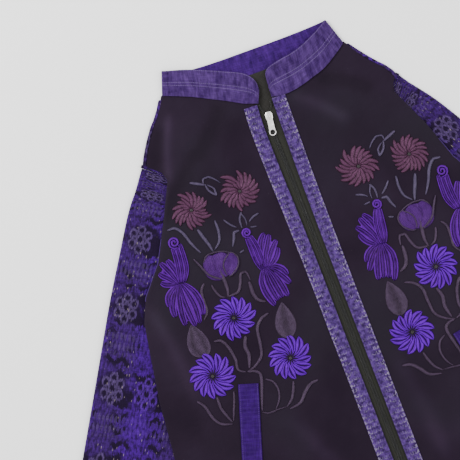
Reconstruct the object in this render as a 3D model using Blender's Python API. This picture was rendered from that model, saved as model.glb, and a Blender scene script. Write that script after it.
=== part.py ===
"""An embroidered zip jacket with a stand collar and drop-shoulder sleeves, laid flat on its back.

The body is black cloth with raised embroidery, and the collar, sleeves, front bands, pocket welts and back
are patterned cloth. The sleeves are pulled down beside the body, so the body lies over their inner halves.
The row frame has +X to the viewer's right, +Y towards the collar and +Z up from the surface. Sizes in the
tables are millimetres, and "out" is a distance from X = 0 towards the side that a table belongs to.
"""

import math
from collections import namedtuple

import bpy
import bmesh
import numpy as np
from mathutils import Matrix, Vector
from mathutils.bvhtree import BVHTree

MM = 0.001

# Cloth thicknesses and the gaps between cloths
BACK_CLOTH = 1.6
FRONT_CLOTH = 1.8
SLEEVE_CLOTH = 1.4
COLLAR_CLOTH = 2.0
FACING_CLOTH = 1.0
BAND_CLOTH = 1.1
WELT_CLOTH = 1.3
TAPE_CLOTH = 0.8
THREAD_PAD = 1.0
SEAM = 0.3
REST_GAP = 1.2
PAD_GAP = 0.7

# Driving dimensions of the laid garment
SLEEVE_THICK = 4.6
SLEEVE_LIFT = SLEEVE_THICK + 0.4
HEM_Y = -366.5
BAND_WIDTH = 21.0
SIDE_ROLL = 3.2
SHOULDER_WRAP = 2.3
FACING_STEP = 2.2
FACING_UNDER = 2.6

# One line across a front, from its opening or neck edge to its side, and how many rows lead to the next line
Line = namedtuple("Line", "centre_out centre_y side_out side_y rows kind")
WEARER_RIGHT = (
    Line(-5.0, HEM_Y, 317.0, HEM_Y, 4, "side"),
    Line(-2.6, -260.0, 310.0, -260.0, 3, "side"),
    Line(-1.3, -177.0, 303.0, -177.0, 3, "side"),
    Line(0.5, -95.0, 296.0, -95.0, 2, "side"),
    Line(1.2, -42.0, 287.5, -42.0, 2, "side"),
    Line(2.4, 20.0, 277.5, 20.0, 2, "side"),
    Line(3.4, 56.0, 262.0, 56.0, 2, "turn"),
    Line(4.6, 98.0, 227.5, 98.0, 2, "fold"),
    Line(6.8, 157.0, 197.0, 157.0, 4, "fold"),
    Line(8.2, 208.0, 171.5, 210.0, 2, "fold"),
    Line(8.4, 222.0, 176.0, 224.0, 1, "armhole"),
    Line(8.6, 238.0, 194.5, 240.0, 1, "shoulder"),
    Line(8.0, 254.0, 187.0, 256.0, 1, "shoulder"),
    Line(7.0, 270.2, 175.5, 275.0, 1, "shoulder"),
    Line(28.0, 278.4, 168.5, 285.0, 1, "shoulder"),
    Line(49.0, 290.5, 162.0, 294.0, 1, "shoulder"),
    Line(71.0, 302.0, 154.5, 302.0, 1, "shoulder"),
    Line(103.0, 317.6, 144.0, 316.0, 1, "shoulder"),
    Line(126.0, 327.4, 137.6, 327.0, 0, "shoulder"),
)
WEARER_LEFT = (
    Line(24.5, HEM_Y, 317.0, HEM_Y, 4, "side"),
    Line(22.6, -260.0, 310.0, -260.0, 3, "side"),
    Line(20.9, -177.0, 303.5, -177.0, 3, "side"),
    Line(19.4, -95.0, 297.5, -95.0, 2, "side"),
    Line(18.4, -42.0, 290.0, -42.0, 2, "side"),
    Line(17.4, 20.0, 281.0, 20.0, 2, "side"),
    Line(16.8, 56.0, 267.0, 56.0, 2, "turn"),
    Line(16.4, 98.0, 243.0, 98.0, 2, "fold"),
    Line(16.2, 157.0, 222.0, 157.0, 4, "fold"),
    Line(16.4, 214.0, 193.0, 219.0, 2, "fold"),
    Line(16.5, 228.0, 195.5, 230.0, 1, "armhole"),
    Line(16.6, 238.0, 201.0, 239.0, 1, "shoulder"),
    Line(16.7, 254.0, 195.5, 251.0, 1, "shoulder"),
    Line(17.0, 272.4, 187.5, 262.0, 1, "shoulder"),
    Line(45.0, 270.0, 179.0, 270.5, 1, "shoulder"),
    Line(63.0, 273.0, 172.0, 278.5, 1, "shoulder"),
    Line(81.0, 278.2, 165.0, 287.0, 1, "shoulder"),
    Line(108.0, 287.6, 155.5, 299.0, 1, "shoulder"),
    Line(136.0, 304.6, 147.0, 310.6, 0, "shoulder"),
)
NECK_LINE = 13

# Sleeve stations: the outer folded edge, the flat width, the tilt of a station and its loft over the flat height
Station = namedtuple("Station", "out y width tilt loft")
RIGHT_SLEEVE = (
    Station(202.0, 240.0, 75.0, 37.0, 0.0),
    Station(212.0, 226.0, 88.0, 36.0, 0.2),
    Station(222.0, 212.0, 100.0, 35.0, 0.6),
    Station(244.5, 183.0, 125.0, 33.0, 1.6),
    Station(280.0, 126.0, 146.0, 31.0, 2.4),
    Station(315.0, 69.0, 158.0, 30.0, 2.8),
    Station(354.5, 0.0, 160.0, 29.7, 3.0),
    Station(394.5, -70.0, 157.0, 29.7, 2.8),
    Station(435.0, -140.5, 150.0, 29.7, 2.4),
    Station(482.0, -222.0, 136.0, 29.7, 1.4),
)

LEFT_SLEEVE = (
    Station(208.5, 240.0, 72.0, 47.0, 0.0),
    Station(218.0, 226.0, 86.0, 43.0, 0.2),
    Station(229.0, 212.0, 100.0, 39.0, 0.6),
    Station(250.5, 183.0, 125.0, 35.0, 1.6),
    Station(285.5, 126.0, 146.0, 32.0, 2.4),
    Station(320.0, 69.0, 158.0, 30.3, 2.8),
    Station(358.0, 0.0, 160.0, 29.7, 3.0),
    Station(397.0, -70.0, 157.0, 29.7, 2.8),
    Station(436.5, -140.5, 150.0, 29.7, 2.4),
    Station(482.0, -222.0, 136.0, 29.7, 1.4),
)

# Where the front's fold over the sleeve runs out towards the neck
CREASE_TOP = (138.0, 278.0)

# Centreline of the zip, from the hem up
ZIP_LINE = ((HEM_Y, 14.8), (-299.0, 14.0), (-177.0, 11.2), (-78.0, 9.8), (67.0, 6.4), (157.0, 4.6), (223.5, 2.2),
            (240.0, 3.4), (262.0, 5.0))
ZIP_TOP_Y = 238.0
ZIP_BOTTOM_Y = HEM_Y + 22.0
SLIDER_Y = 249.0
SLIDER_TURN = math.radians(-7.0)

# Stand collar, front stations from the opening to the corner: base edge, top edge and height of the top edge
Stand = namedtuple("Stand", "base_out base_y top_out top_y rise")
COLLAR_RIGHT = (
    Stand(4.5, 271.5, -3.2, 289.0, 9.0),
    Stand(7.5, 272.5, -3.8, 300.0, 10.0),
    Stand(14.0, 274.8, 0.5, 311.0, 10.6),
    Stand(27.0, 279.6, 12.0, 322.5, 10.6),
    Stand(48.0, 291.4, 35.0, 333.5, 10.0),
    Stand(71.0, 303.0, 62.0, 345.5, 9.4),
    Stand(98.0, 316.4, 90.0, 356.5, 8.6),
    Stand(130.0, 329.4, 119.0, 365.0, 8.0),
)
COLLAR_LEFT = (
    Stand(17.4, 274.2, 18.6, 297.0, 9.0),
    Stand(23.0, 273.0, 20.5, 310.0, 10.0),
    Stand(32.0, 271.6, 28.0, 317.5, 10.6),
    Stand(45.0, 271.2, 47.5, 322.4, 10.8),
    Stand(64.0, 274.4, 68.0, 326.0, 10.4),
    Stand(82.0, 279.6, 86.0, 331.5, 9.8),
    Stand(109.0, 289.2, 110.0, 342.5, 9.0),
    Stand(140.0, 308.8, 127.5, 352.5, 8.0),
)
CORNER_RIGHT = Stand(136.5, 331.0, 124.5, 366.5, 8.0)
CORNER_LEFT = Stand(147.0, 313.6, 133.0, 355.0, 8.0)
BACK_COLLAR_COLUMNS = (1, 3, 6, 9, 12, 14, 16)
BACK_NECK_Y = 303.5
NECK_SEAM = 0.8
BACK_COLLAR_TOP_Y = 351.5
COLLAR_ROWS = (0.0, 0.2, 0.4, 0.6, 0.8, 1.0)

# Raised embroidery, placed on the wearer's right front and turned over on to the left front
Flower = namedtuple("Flower", "name out y radius petals turn cloth")
FLOWERS = (
    Flower("flower_red_outer", 154.0, 156.0, 31.0, 16, 0.2, "thread_red"),
    Flower("flower_red_inner", 75.5, 158.5, 33.0, 16, 0.0, "thread_red"),
    Flower("flower_violet_top", 148.5, -17.0, 34.0, 12, 0.1, "thread_violet"),
    Flower("flower_violet_outer", 208.0, -88.0, 36.0, 13, 0.3, "thread_violet"),
    Flower("flower_violet_inner", 89.0, -103.0, 36.0, 13, 0.0, "thread_violet"),
)
# A figure is a pad about a middle point, whose rim is given as angles in degrees and radii
Figure = namedtuple("Figure", "name out y rim cloth")
FIGURES = (
    Figure("bird_inner", 74.0, 38.0, ((-78, 60), (-60, 52), (-38, 46), (-20, 30), (0, 22), (22, 34), (48, 44), (68, 48),
                                      (84, 38), (96, 44), (103, 62), (110, 60), (118, 40), (150, 20), (180, 15),
                                      (215, 20), (240, 36), (262, 54)), "thread_bird"),
    Figure("bird_outer", 208.0, 52.0, ((-84, 60), (-66, 56), (-44, 44), (-20, 30), (0, 22), (28, 30), (56, 48),
                                       (70, 66), (80, 72), (90, 64), (102, 46), (125, 36), (150, 26), (180, 18),
                                       (210, 22), (238, 32), (258, 52)), "thread_bird"),
)
LEFT_MOTIF_TURN = math.radians(-5.0)
LEFT_MOTIF_PIVOT = (110.0, 40.0)
LEFT_MOTIF_MOVE = (18.0, -28.0)

# Slanted pocket welt, stitched on each front
WELT_TOP = (162.0, -117.0)
WELT_SIZE = (31.0, 150.0)
WELT_SLANT = math.radians(16.9)

FINISH = {
    "black_cloth": ((0.021, 0.017, 0.024), 0.9, 0.0),
    "ikat_cloth": ((0.075, 0.045, 0.22), 0.85, 0.0),
    "collar_cloth": ((0.13, 0.07, 0.30), 0.85, 0.0),
    "band_cloth": ((0.15, 0.10, 0.34), 0.85, 0.0),
    "welt_cloth": ((0.06, 0.03, 0.22), 0.8, 0.0),
    "lining_cloth": ((0.045, 0.045, 0.042), 0.9, 0.0),
    "zip_tape": ((0.025, 0.028, 0.022), 0.8, 0.0),
    "zip_metal": ((0.80, 0.79, 0.74), 0.25, 1.0),
    "thread_red": ((0.13, 0.045, 0.085), 0.6, 0.0),
    "thread_violet": ((0.10, 0.035, 0.48), 0.5, 0.0),
    "thread_bird": ((0.09, 0.03, 0.33), 0.55, 0.0),
    "thread_plum": ((0.09, 0.03, 0.19), 0.6, 0.0),
    "thread_leaf": ((0.075, 0.05, 0.075), 0.7, 0.0),
}


def material(name):
    """A plain Principled finish for one kind of cloth, thread or metal."""
    found = bpy.data.materials.get(name)
    if found:
        return found
    colour, roughness, metallic = FINISH[name]
    made = bpy.data.materials.new(name)
    made.use_nodes = True
    shader = made.node_tree.nodes["Principled BSDF"]
    shader.inputs["Base Color"].default_value = (*colour, 1.0)
    shader.inputs["Roughness"].default_value = roughness
    shader.inputs["Metallic"].default_value = metallic
    return made


def step(value):
    """Smooth rise from 0 to 1."""
    t = np.clip(value, 0.0, 1.0)
    return t * t * (3.0 - 2.0 * t)


def ends_of(side):
    """The table of front lines on one side: -1 is the wearer's right and +1 the wearer's left."""
    return WEARER_RIGHT if side < 0 else WEARER_LEFT


def sleeve_of(side):
    """The sleeve stations on one side."""
    return RIGHT_SLEEVE if side < 0 else LEFT_SLEEVE


def body_outline(side):
    """Half of the body's outline, as a closed run of (out, y)."""
    table = ends_of(side)
    return np.array([(s.side_out, s.side_y) for s in table] + [(0.0, 331.0), (0.0, HEM_Y)])


def sleeve_ends(station):
    """Outer and inner end of a sleeve station, as (out, y)."""
    angle = math.radians(station.tilt)
    inner = (station.out - station.width * math.cos(angle), station.y - station.width * math.sin(angle))
    return (station.out, station.y), inner


def tuck_outline(side):
    """The part of a sleeve that can lie under the body, as a closed outline in (out, y)."""
    fold = next(line for line in reversed(ends_of(side)) if line.kind == "fold")
    outer = [sleeve_ends(s)[0] for s in sleeve_of(side)[2:]]
    inner = [sleeve_ends(s)[1] for s in sleeve_of(side)]
    return np.array([(fold.side_out, fold.side_y)] + outer + inner[::-1])


def distance_outside(points, outline):
    """How far each point lies outside a closed outline, 0 inside it."""
    a, b = outline, np.roll(outline, -1, axis=0)
    edge = b - a
    rel = points[:, None, :] - a[None]
    along = np.clip((rel * edge).sum(2) / (edge ** 2).sum(1), 0.0, 1.0)
    far = np.linalg.norm(rel - along[..., None] * edge, axis=2).min(1)
    crosses = (a[:, 1] > points[:, None, 1]) != (b[:, 1] > points[:, None, 1])
    rise = np.where(np.abs(edge[:, 1]) < 1e-9, 1e-9, edge[:, 1])
    at = a[:, 0] + (points[:, None, 1] - a[:, 1]) * edge[:, 0] / rise
    inside = (crosses & (points[:, None, 0] < at)).sum(1) % 2 == 1
    return np.where(inside, 0.0, far)


TUCK = {side: tuck_outline(side) for side in (-1, 1)}


def lift(x, y):
    """How far the body is raised by the sleeve tucked under it."""
    side = np.where(x < 0, -1, 1)
    total = np.zeros_like(x)
    for s in (-1, 1):
        mine = side == s
        out = np.abs(x[mine])
        points = np.column_stack([out, y[mine]])
        away = distance_outside(points, TUCK[s])
        at_armhole = step((y[mine] - 150.0) / 50.0) * step((out - 120.0) / 30.0)
        start, reach = 11.0 + 1.0 * at_armhole, 60.0 - 50.0 * at_armhole
        total[mine] = SLEEVE_LIFT * (1.0 - step((away - start) / reach))
    return total


def zip_x(y):
    """Centreline of the zip at a height up the garment."""
    heights, places = zip(*ZIP_LINE)
    return np.interp(y, heights, places)


def front_fold(x, y):
    """Soft folds of the black fronts, above the height at which they rest on the back."""
    side = np.where(x < 0, -1.0, 1.0)
    out = np.abs(x)
    (top_out, top_y), foot = CREASE_TOP, (170.0, 214.0)
    run = np.array([top_out - foot[0], top_y - foot[1]])
    length = np.hypot(*run)
    run = run / length
    along = (out - foot[0]) * run[0] + (y - foot[1]) * run[1]
    across = (out - foot[0]) * run[1] - (y - foot[1]) * run[0]
    crease = 3.2 * np.exp(-((across + 13.0) / 11.0) ** 2) * step((length + 30.0 - along) / 60.0)
    crease = crease * step((along + 60.0) / 60.0)
    off_zip = step((out - 34.0) / 50.0)
    sag = 1.1 * (1.0 + np.sin(y / 62.0 + 0.9 * side)) * np.exp(-((out - 120.0) / 95.0) ** 2) * off_zip
    hem = 1.5 * (1.0 + np.sin(out / 26.0 + 1.3 * side)) * step((HEM_Y + 150.0 - y) / 130.0) * off_zip
    slant = 2.2 * np.exp(-(((out - 150.0) * 0.62 + (y - 215.0) * 0.78) / 15.0) ** 2)
    slant = slant * step((out - 70.0) / 50.0) * (side > 0)
    pocket = 1.8 * np.exp(-(((out - 225.0) * 0.25 + (y + 95.0)) / 16.0) ** 2) * step((out - 195.0) / 50.0)
    keep_low = step((y - HEM_Y) / 25.0) * 0.3 + 0.7
    return (crease + sag + slant + pocket) * (1.0 - step((out - 262.0) / 40.0)) + hem * keep_low


def near_neck(x, y):
    """1 where the back facing lies between the back and the fronts."""
    return step((y - 175.0) / 30.0) * (1.0 - step((np.abs(x - 8.0) - 72.0) / 26.0))


def front_top(x, y):
    """Height of the outer face of the fronts."""
    x, y = np.asarray(x, float), np.asarray(y, float)
    shape = x.shape
    x, y = x.ravel(), y.ravel()
    out = np.abs(x)
    beside_zip = 1.0 - step((np.abs(x - zip_x(y)) - 26.0) / 30.0)
    gap = REST_GAP + 0.9 * beside_zip + FACING_STEP * near_neck(x, y)
    shoulder = 1.0 - step((y - 196.0) / 40.0) * step((out - 150.0) / 30.0)
    gap = gap + front_fold(x, y) * shoulder
    gap = gap + 0.8 * step((out - 200.0) / 60.0) * (1.0 - step((y - 180.0) / 30.0))
    return (lift(x, y) + BACK_CLOTH + gap + FRONT_CLOTH).reshape(shape)


def normals(points):
    """Unit normals of a grid of points, row by column."""
    across = np.gradient(points, axis=1)
    down = np.gradient(points, axis=0)
    n = np.cross(across, down)
    return n / np.maximum(np.linalg.norm(n, axis=2, keepdims=True), 1e-9)


def shell(name, face, under, cloth, hidden=False):
    """One closed wall between two grids of points in millimetres, joined round their rims."""
    rows, columns = face.shape[:2]
    mesh = bmesh.new()
    upper = [[mesh.verts.new(face[r, c] * MM) for c in range(columns)] for r in range(rows)]
    lower = [[mesh.verts.new(under[r, c] * MM) for c in range(columns)] for r in range(rows)]
    for r in range(rows - 1):
        for c in range(columns - 1):
            mesh.faces.new((upper[r][c], upper[r][c + 1], upper[r + 1][c + 1], upper[r + 1][c]))
            mesh.faces.new((lower[r][c], lower[r + 1][c], lower[r + 1][c + 1], lower[r][c + 1]))
    rim = [(0, c) for c in range(columns)] + [(r, columns - 1) for r in range(1, rows)]
    rim += [(rows - 1, c) for c in range(columns - 2, -1, -1)] + [(r, 0) for r in range(rows - 2, 0, -1)]
    for (r, c), (s, d) in zip(rim, rim[1:] + rim[:1]):
        mesh.faces.new((upper[r][c], lower[r][c], lower[s][d], upper[s][d]))
    return finish(name, mesh, cloth)


def finish(name, mesh, cloth):
    """Turns a bmesh into a named object with its faces outwards and its own finish."""
    bmesh.ops.recalc_face_normals(mesh, faces=mesh.faces)
    data = bpy.data.meshes.new(name)
    mesh.to_mesh(data)
    mesh.free()
    data.shade_smooth()
    data.set_sharp_from_angle(angle=math.radians(40.0))
    data.materials.append(material(cloth))
    made = bpy.data.objects.new(name, data)
    bpy.context.scene.collection.objects.link(made)
    return made


def between(start, end, share):
    """A point part of the way from one point to another."""
    return tuple(a + (b - a) * share for a, b in zip(start, end))


def front_rows(side):
    """Every row of a front: its opening or neck point, its side point and what edge it ends in."""
    table = ends_of(side)
    rows = []
    for line, after in zip(table, table[1:]):
        for k in range(line.rows):
            share = k / line.rows
            centre = between((line.centre_out, line.centre_y), (after.centre_out, after.centre_y), share)
            edge = between((line.side_out, line.side_y), (after.side_out, after.side_y), share)
            rows.append((centre, edge, line.kind))
    last = table[-1]
    rows.append(((last.centre_out, last.centre_y), (last.side_out, last.side_y), last.kind))
    return rows


def rows_to_neck(side):
    """Number of rows from the hem to the row that ends at the neck point."""
    return sum(line.rows for line in ends_of(side)[:NECK_LINE]) + 1


FRONT_COLUMNS = 11
ROLL_STEPS = 3


def front_grid(side):
    """Outer face of one front: flat columns from the opening edge, then the edge that rolls under at the side."""
    grid = []
    for (cx, cy), (ex, ey), kind in front_rows(side):
        along = np.array([ex - cx, ey - cy])
        length = np.linalg.norm(along)
        along = along / length
        top = float(front_top(np.array([side * ex]), np.array([ey]))[0])
        rolls = kind in ("side", "turn", "fold")
        support = SLEEVE_THICK if kind == "fold" else top - SIDE_ROLL - SEAM
        roll = top - support - SEAM if kind == "fold" else SIDE_ROLL
        roll = max(roll, SIDE_ROLL)
        reach = roll if rolls else 0.06 * length * (1.0 if length < 60 else 0.6)
        band = min(BAND_WIDTH, length * 0.3)
        flat = list(np.linspace(0.0, band, 3))
        flat += list(np.linspace(band, length - reach, FRONT_COLUMNS - 1)[1:])
        row = []
        for d in flat:
            x, y = cx + along[0] * d, cy + along[1] * d
            row.append((side * x, y, float(front_top(np.array([side * x]), np.array([y]))[0])))
        start = row[-1][2]
        for k in range(1, ROLL_STEPS + 1):
            turn = math.pi / 2 * k / ROLL_STEPS
            if rolls:
                d, drop = length - reach + roll * math.sin(turn), roll * (1.0 - math.cos(turn))
                z = start + (top - start) * k / ROLL_STEPS - drop
            else:
                d = length - reach + reach * k / ROLL_STEPS
                z = float(front_top(np.array([side * (cx + along[0] * d)]), np.array([cy + along[1] * d]))[0])
            row.append((side * (cx + along[0] * d), cy + along[1] * d, z))
        grid.append(row)
    return np.array(grid)


def upward(n):
    """The same normals, turned so that they point up where they can."""
    return np.where(n[..., 2:3] < -1e-6, -n, n)


def offset_front(grid, side, depth):
    """The grid moved down through the cloth, along its normals."""
    n = normals(grid) * (1.0 if side > 0 else -1.0)
    n = n if n[..., 2].mean() > 0 else -n
    return grid - n * depth


def make_front(side, name):
    grid = front_grid(side)
    under = offset_front(grid, side, FRONT_CLOTH)
    # The opening edge and the hem are cut square, so their inner points stay straight below the outer ones.
    under[:, 0, :2] = grid[:, 0, :2]
    under[0, :-ROLL_STEPS, :2] = grid[0, :-ROLL_STEPS, :2]
    # The rolled edge ends level, so that its cut face doesn't reach below the outer one.
    under[:, -1, 2] = np.maximum(under[:, -1, 2], grid[:, -1, 2] - FRONT_CLOTH)
    for row, (_, _, kind) in enumerate(front_rows(side)):
        if kind in ("side", "turn", "fold"):
            under[row, -1, 2] = grid[row, -1, 2]
    shell(name, grid, under, "black_cloth")
    return grid


def make_band(side, name, grid):
    """The patterned band along the opening edge, made from the front's own points moved out."""
    count = rows_to_neck(side)
    base = grid[:count, :3].copy()
    base[..., 2] += SEAM + 0.1
    shell(name, base + np.array([0.0, 0.0, BAND_CLOTH]), base, "band_cloth")


def make_tape(side, name, grid):
    """One half of the zip's tape, from under the front's edge to the middle of the opening."""
    count = rows_to_neck(side)
    rows = []
    picked = [row for row in range(count) if row % 2 == 0 or grid[row, 0, 1] > 120.0]
    for (x, y, z) in grid[picked, 0]:
        middle = float(zip_x(y))
        opened = float(step((y - ZIP_TOP_Y - 12.0) / 16.0))
        inner = (middle + side * 0.6) * (1.0 - opened) + (x - side * 4.0) * opened
        top = z - FRONT_CLOTH - SEAM - 0.3
        rows.append([(x + side * 10.0, y, top), (x, y, top), ((x + inner) / 2, y, top), (inner, y, top)])
    face = np.array(rows)
    shell(name, face, face - np.array([0.0, 0.0, TAPE_CLOTH]), "zip_tape")
    return face


def back_edge(side):
    """Side points of the back, row for row with the fronts, and how far each row's rim wraps to the front."""
    points = []
    for (_, (ex, ey), kind) in front_rows(side):
        if kind == "fold":
            points.append((ex - 6.0, ey, 0.0))
        elif kind == "turn":
            points.append((ex - 3.5, ey, 0.0))
        elif kind == "armhole":
            points.append((ex + 1.3, ey, 0.0))
        elif kind == "shoulder":
            points.append((ex + 6.4, ey, 1.0))
        else:
            points.append((ex, ey, 0.0))
    return points


BACK_SIDE_COLUMNS = (3, 4, 5, 6, 7, 8, 9, 10)
BACK_COLUMNS = 2 * len(BACK_SIDE_COLUMNS) + 1
WRAP_STEPS = 4
RIM_STEPS = WRAP_STEPS + 1


def back_top_ends():
    """Flat ends of the back's last row, on the wearer's right and left, as (x, y)."""
    right, left = WEARER_RIGHT[-1], WEARER_LEFT[-1]
    return ((-(right.side_out + 6.4 - SHOULDER_WRAP), right.side_y), (left.side_out + 6.4 - SHOULDER_WRAP, left.side_y))


def back_neck_points():
    """Points of the seam between the back and the collar, at some columns of the back."""
    (rx, ry), (lx, ly) = back_top_ends()
    points = []
    for column in BACK_COLLAR_COLUMNS:
        share = column / BACK_COLUMNS
        level = ry + (ly - ry) * share + 2.0
        depth = (level - BACK_NECK_Y) * math.sin(math.pi * share) ** 0.7
        points.append((rx + (lx - rx) * share, level - depth))
    return points


def back_neck_y(x):
    """The back's neck edge, just below its seam with the collar."""
    (rx, ry), (lx, ly) = back_top_ends()
    points = [(rx, ry + NECK_SEAM)] + back_neck_points() + [(lx, ly + NECK_SEAM)]
    places, heights = zip(*points)
    return float(np.interp(x, places, heights)) - NECK_SEAM


def back_rim(side, front_row, edge):
    """One end of a row of the back: flat below the front's edge, or wrapped round to the front at a shoulder."""
    ex, ey, wrap = edge
    inner, outer = front_row[BACK_SIDE_COLUMNS[-1]], front_row[BACK_SIDE_COLUMNS[-1] + 1]
    places = [abs(inner[0]), abs(outer[0])]
    heights = [float(lift(np.array([p[0]]), np.array([p[1]]))[0]) for p in (inner, outer)]
    rim = []
    for k in range(RIM_STEPS + 1):
        if wrap:
            turn = min(k / WRAP_STEPS, 1.0) * math.pi
            x = ex - SHOULDER_WRAP + SHOULDER_WRAP * math.sin(turn) - max(0, k - WRAP_STEPS) * 3.2
            z = SHOULDER_WRAP * (1.0 - math.cos(turn))
        else:
            x = ex - 9.0 + 9.0 * k / RIM_STEPS
            z = float(np.interp(x, places, heights))
        rim.append((side * x, ey, z))
    return rim


def make_back(name, grids):
    """The back, in one piece from side to side. At the shoulders its rim wraps to the front to meet the seam."""
    edges = {side: back_edge(side) for side in (-1, 1)}
    neck_row = rows_to_neck(-1) - 1
    (rx, ry), (lx, ly) = back_top_ends()
    face = []
    for j in range(len(edges[1])):
        right = back_rim(-1, grids[-1][j], edges[-1][j])
        left = back_rim(1, grids[1][j], edges[1][j])
        row = right[::-1]
        if j <= neck_row:
            middle = [grids[-1][j][c] for c in BACK_SIDE_COLUMNS[::-1]] + [grids[1][j][c] for c in BACK_SIDE_COLUMNS]
            for x, y, _ in middle:
                row.append((x, y, float(lift(np.array([x]), np.array([y]))[0])))
        else:
            (start_x, start_y, _), (end_x, end_y, _) = right[0], left[0]
            for c in range(1, BACK_COLUMNS):
                t = c / BACK_COLUMNS
                x, y = start_x + (end_x - start_x) * t, start_y + (end_y - start_y) * t
                first = edges[-1][neck_row][1] + (edges[1][neck_row][1] - edges[-1][neck_row][1]) * t
                last = ry + (ly - ry) * t
                y = first + (y - first) * (back_neck_y(x) - first) / (last - first)
                row.append((x, y, 0.0))
        face.append(row + left)
    face = np.array(face)
    n = normals(face)
    n = n if n[:, len(right) + BACK_COLUMNS // 2, 2].mean() > 0 else -n
    shell(name, face + n * BACK_CLOTH, face, "ikat_cloth")


def covered_from(station, body):
    """How far in from a sleeve's outer edge the body begins to cover it."""
    outer, inner = sleeve_ends(station)
    reaches = np.arange(1.0, station.width, 1.0)
    points = np.array([between(outer, inner, r / station.width) for r in reaches])
    covered = distance_outside(points, body) == 0.0
    first = float(reaches[covered][0]) if covered.any() else station.width
    return min(first, station.width - 12.0)


def make_sleeve(side, name):
    """A sleeve as a flattened tube, open at the armhole and the cuff. The part under the body is pressed flat."""
    body = body_outline(side)
    rings = {0.0: [], SLEEVE_CLOTH: []}
    for index, station in enumerate(sleeve_of(side)):
        (ox, oy), (ix, iy) = sleeve_ends(station)
        width = station.width
        flat = covered_from(station, body) - 6.0
        reaches = [0.0, 1.2, 5.0, flat * 0.36, flat * 0.66, max(flat - 18.0, flat * 0.78), flat,
                   (flat + width) / 2, width - 5.0, width]
        for grow, found in rings.items():
            ring = []
            for top in (True, False):
                for reach in reaches if top else reaches[::-1]:
                    rim = min(reach, width - reach)
                    round_off = math.sqrt(max(0.0, 1.0 - (1.0 - min(rim / 5.0, 1.0)) ** 2))
                    shown = float(step((flat - reach) / 34.0))
                    ripple = 0.75 * (1.0 + math.sin(index * 1.9 + reach / 17.0)) * min(station.loft, 1.0)
                    middle = SLEEVE_THICK / 2
                    rise = middle + (station.loft + ripple) * shown if top else -middle
                    end_gap = 0.12 if rim == 0.0 else 0.0
                    height = (rise - math.copysign(grow, rise)) * round_off + math.copysign(end_gap, rise)
                    place = grow + reach * (width - 2 * grow) / width
                    x = ox + (ix - ox) * place / width
                    y = oy + (iy - oy) * place / width
                    ring.append((side * x, y, middle + height))
            found.append(ring)
    tube(name, np.array(rings[0.0]), np.array(rings[SLEEVE_CLOTH]), "ikat_cloth")


def tube(name, outer, inner, cloth):
    """A wall between an outer and an inner run of rings, closed at its two ends."""
    rings, count = outer.shape[:2]
    mesh = bmesh.new()
    skin = [[mesh.verts.new(outer[r, c] * MM) for c in range(count)] for r in range(rings)]
    bore = [[mesh.verts.new(inner[r, c] * MM) for c in range(count)] for r in range(rings)]
    for c in range(count):
        d = (c + 1) % count
        for r in range(rings - 1):
            mesh.faces.new((skin[r][c], skin[r][d], skin[r + 1][d], skin[r + 1][c]))
            mesh.faces.new((bore[r][c], bore[r + 1][c], bore[r + 1][d], bore[r][d]))
        mesh.faces.new((skin[0][c], bore[0][c], bore[0][d], skin[0][d]))
        mesh.faces.new((skin[-1][c], skin[-1][d], bore[-1][d], bore[-1][c]))
    return finish(name, mesh, cloth)


def collar_stations():
    """Base and top of the collar's outer face at each station, from the wearer's right front round to the left."""
    stations = []

    def front(side, table):
        found = []
        for s in table:
            base = float(front_top(np.array([side * s.base_out]), np.array([s.base_y]))[0])
            found.append(((side * s.base_out, s.base_y, base), (side * s.top_out, s.top_y, s.rise)))
        return found

    def corner(side, s):
        found = []
        for k in range(1, 6):
            turn = math.pi * k / 6
            ends = []
            for out, y, high in ((s.base_out, s.base_y, 4.8), (s.top_out, s.top_y, s.rise)):
                radius = high / 2
                ends.append((side * (out - radius + radius * math.sin(turn)), y, radius * (1.0 + math.cos(turn))))
            found.append(tuple(ends))
        return found

    stations += front(-1, COLLAR_RIGHT)
    stations += corner(-1, CORNER_RIGHT)
    for base_x, base_y in back_neck_points():
        share = (base_x + CORNER_RIGHT.base_out) / (CORNER_RIGHT.base_out + CORNER_LEFT.base_out)
        tip = math.sin(math.pi * share)
        ends = CORNER_RIGHT if share < 0.5 else CORNER_LEFT
        top_y = BACK_COLLAR_TOP_Y + (ends.top_y - BACK_COLLAR_TOP_Y) * (1.0 - tip) ** 1.6
        top_x = -CORNER_RIGHT.top_out + (CORNER_RIGHT.top_out + CORNER_LEFT.top_out) * share
        stations.append(((base_x, base_y, 0.0), (top_x, top_y, 3.0 * tip)))
    stations += corner(1, CORNER_LEFT)[::-1]
    stations += front(1, COLLAR_LEFT)[::-1]
    return stations


def make_collar(name):
    """The stand collar: one stiffened band, from the right front round the neck to the left front."""
    stations = collar_stations()
    face = np.array([[between(base, top, v) for base, top in stations] for v in COLLAR_ROWS])
    n = normals(face)
    n = n if n[0, 3, 2] > 0 else -n
    inner = face - n * COLLAR_CLOTH
    shell(name, face, inner, "collar_cloth")


def make_facing(name):
    """The grey cloth inside the back neck, which shows between the collar's front ends."""
    rows = []
    for v in np.linspace(0.0, 1.0, 7):
        half = 66.0 * (1.0 - 0.35 * (1.0 - v) ** 2)
        y = 196.0 + (316.0 - 196.0) * v
        bow = 5.0 * v
        z = FACING_UNDER + 1.6 * float(step((y - 285.0) / 26.0))
        rows.append([(8.0 + half * u, y + bow * u * u, z) for u in np.linspace(-1.0, 1.0, 7)])
    base = np.array(rows)
    shell(name, base + np.array([0.0, 0.0, FACING_CLOTH]), base, "lining_cloth")


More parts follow.
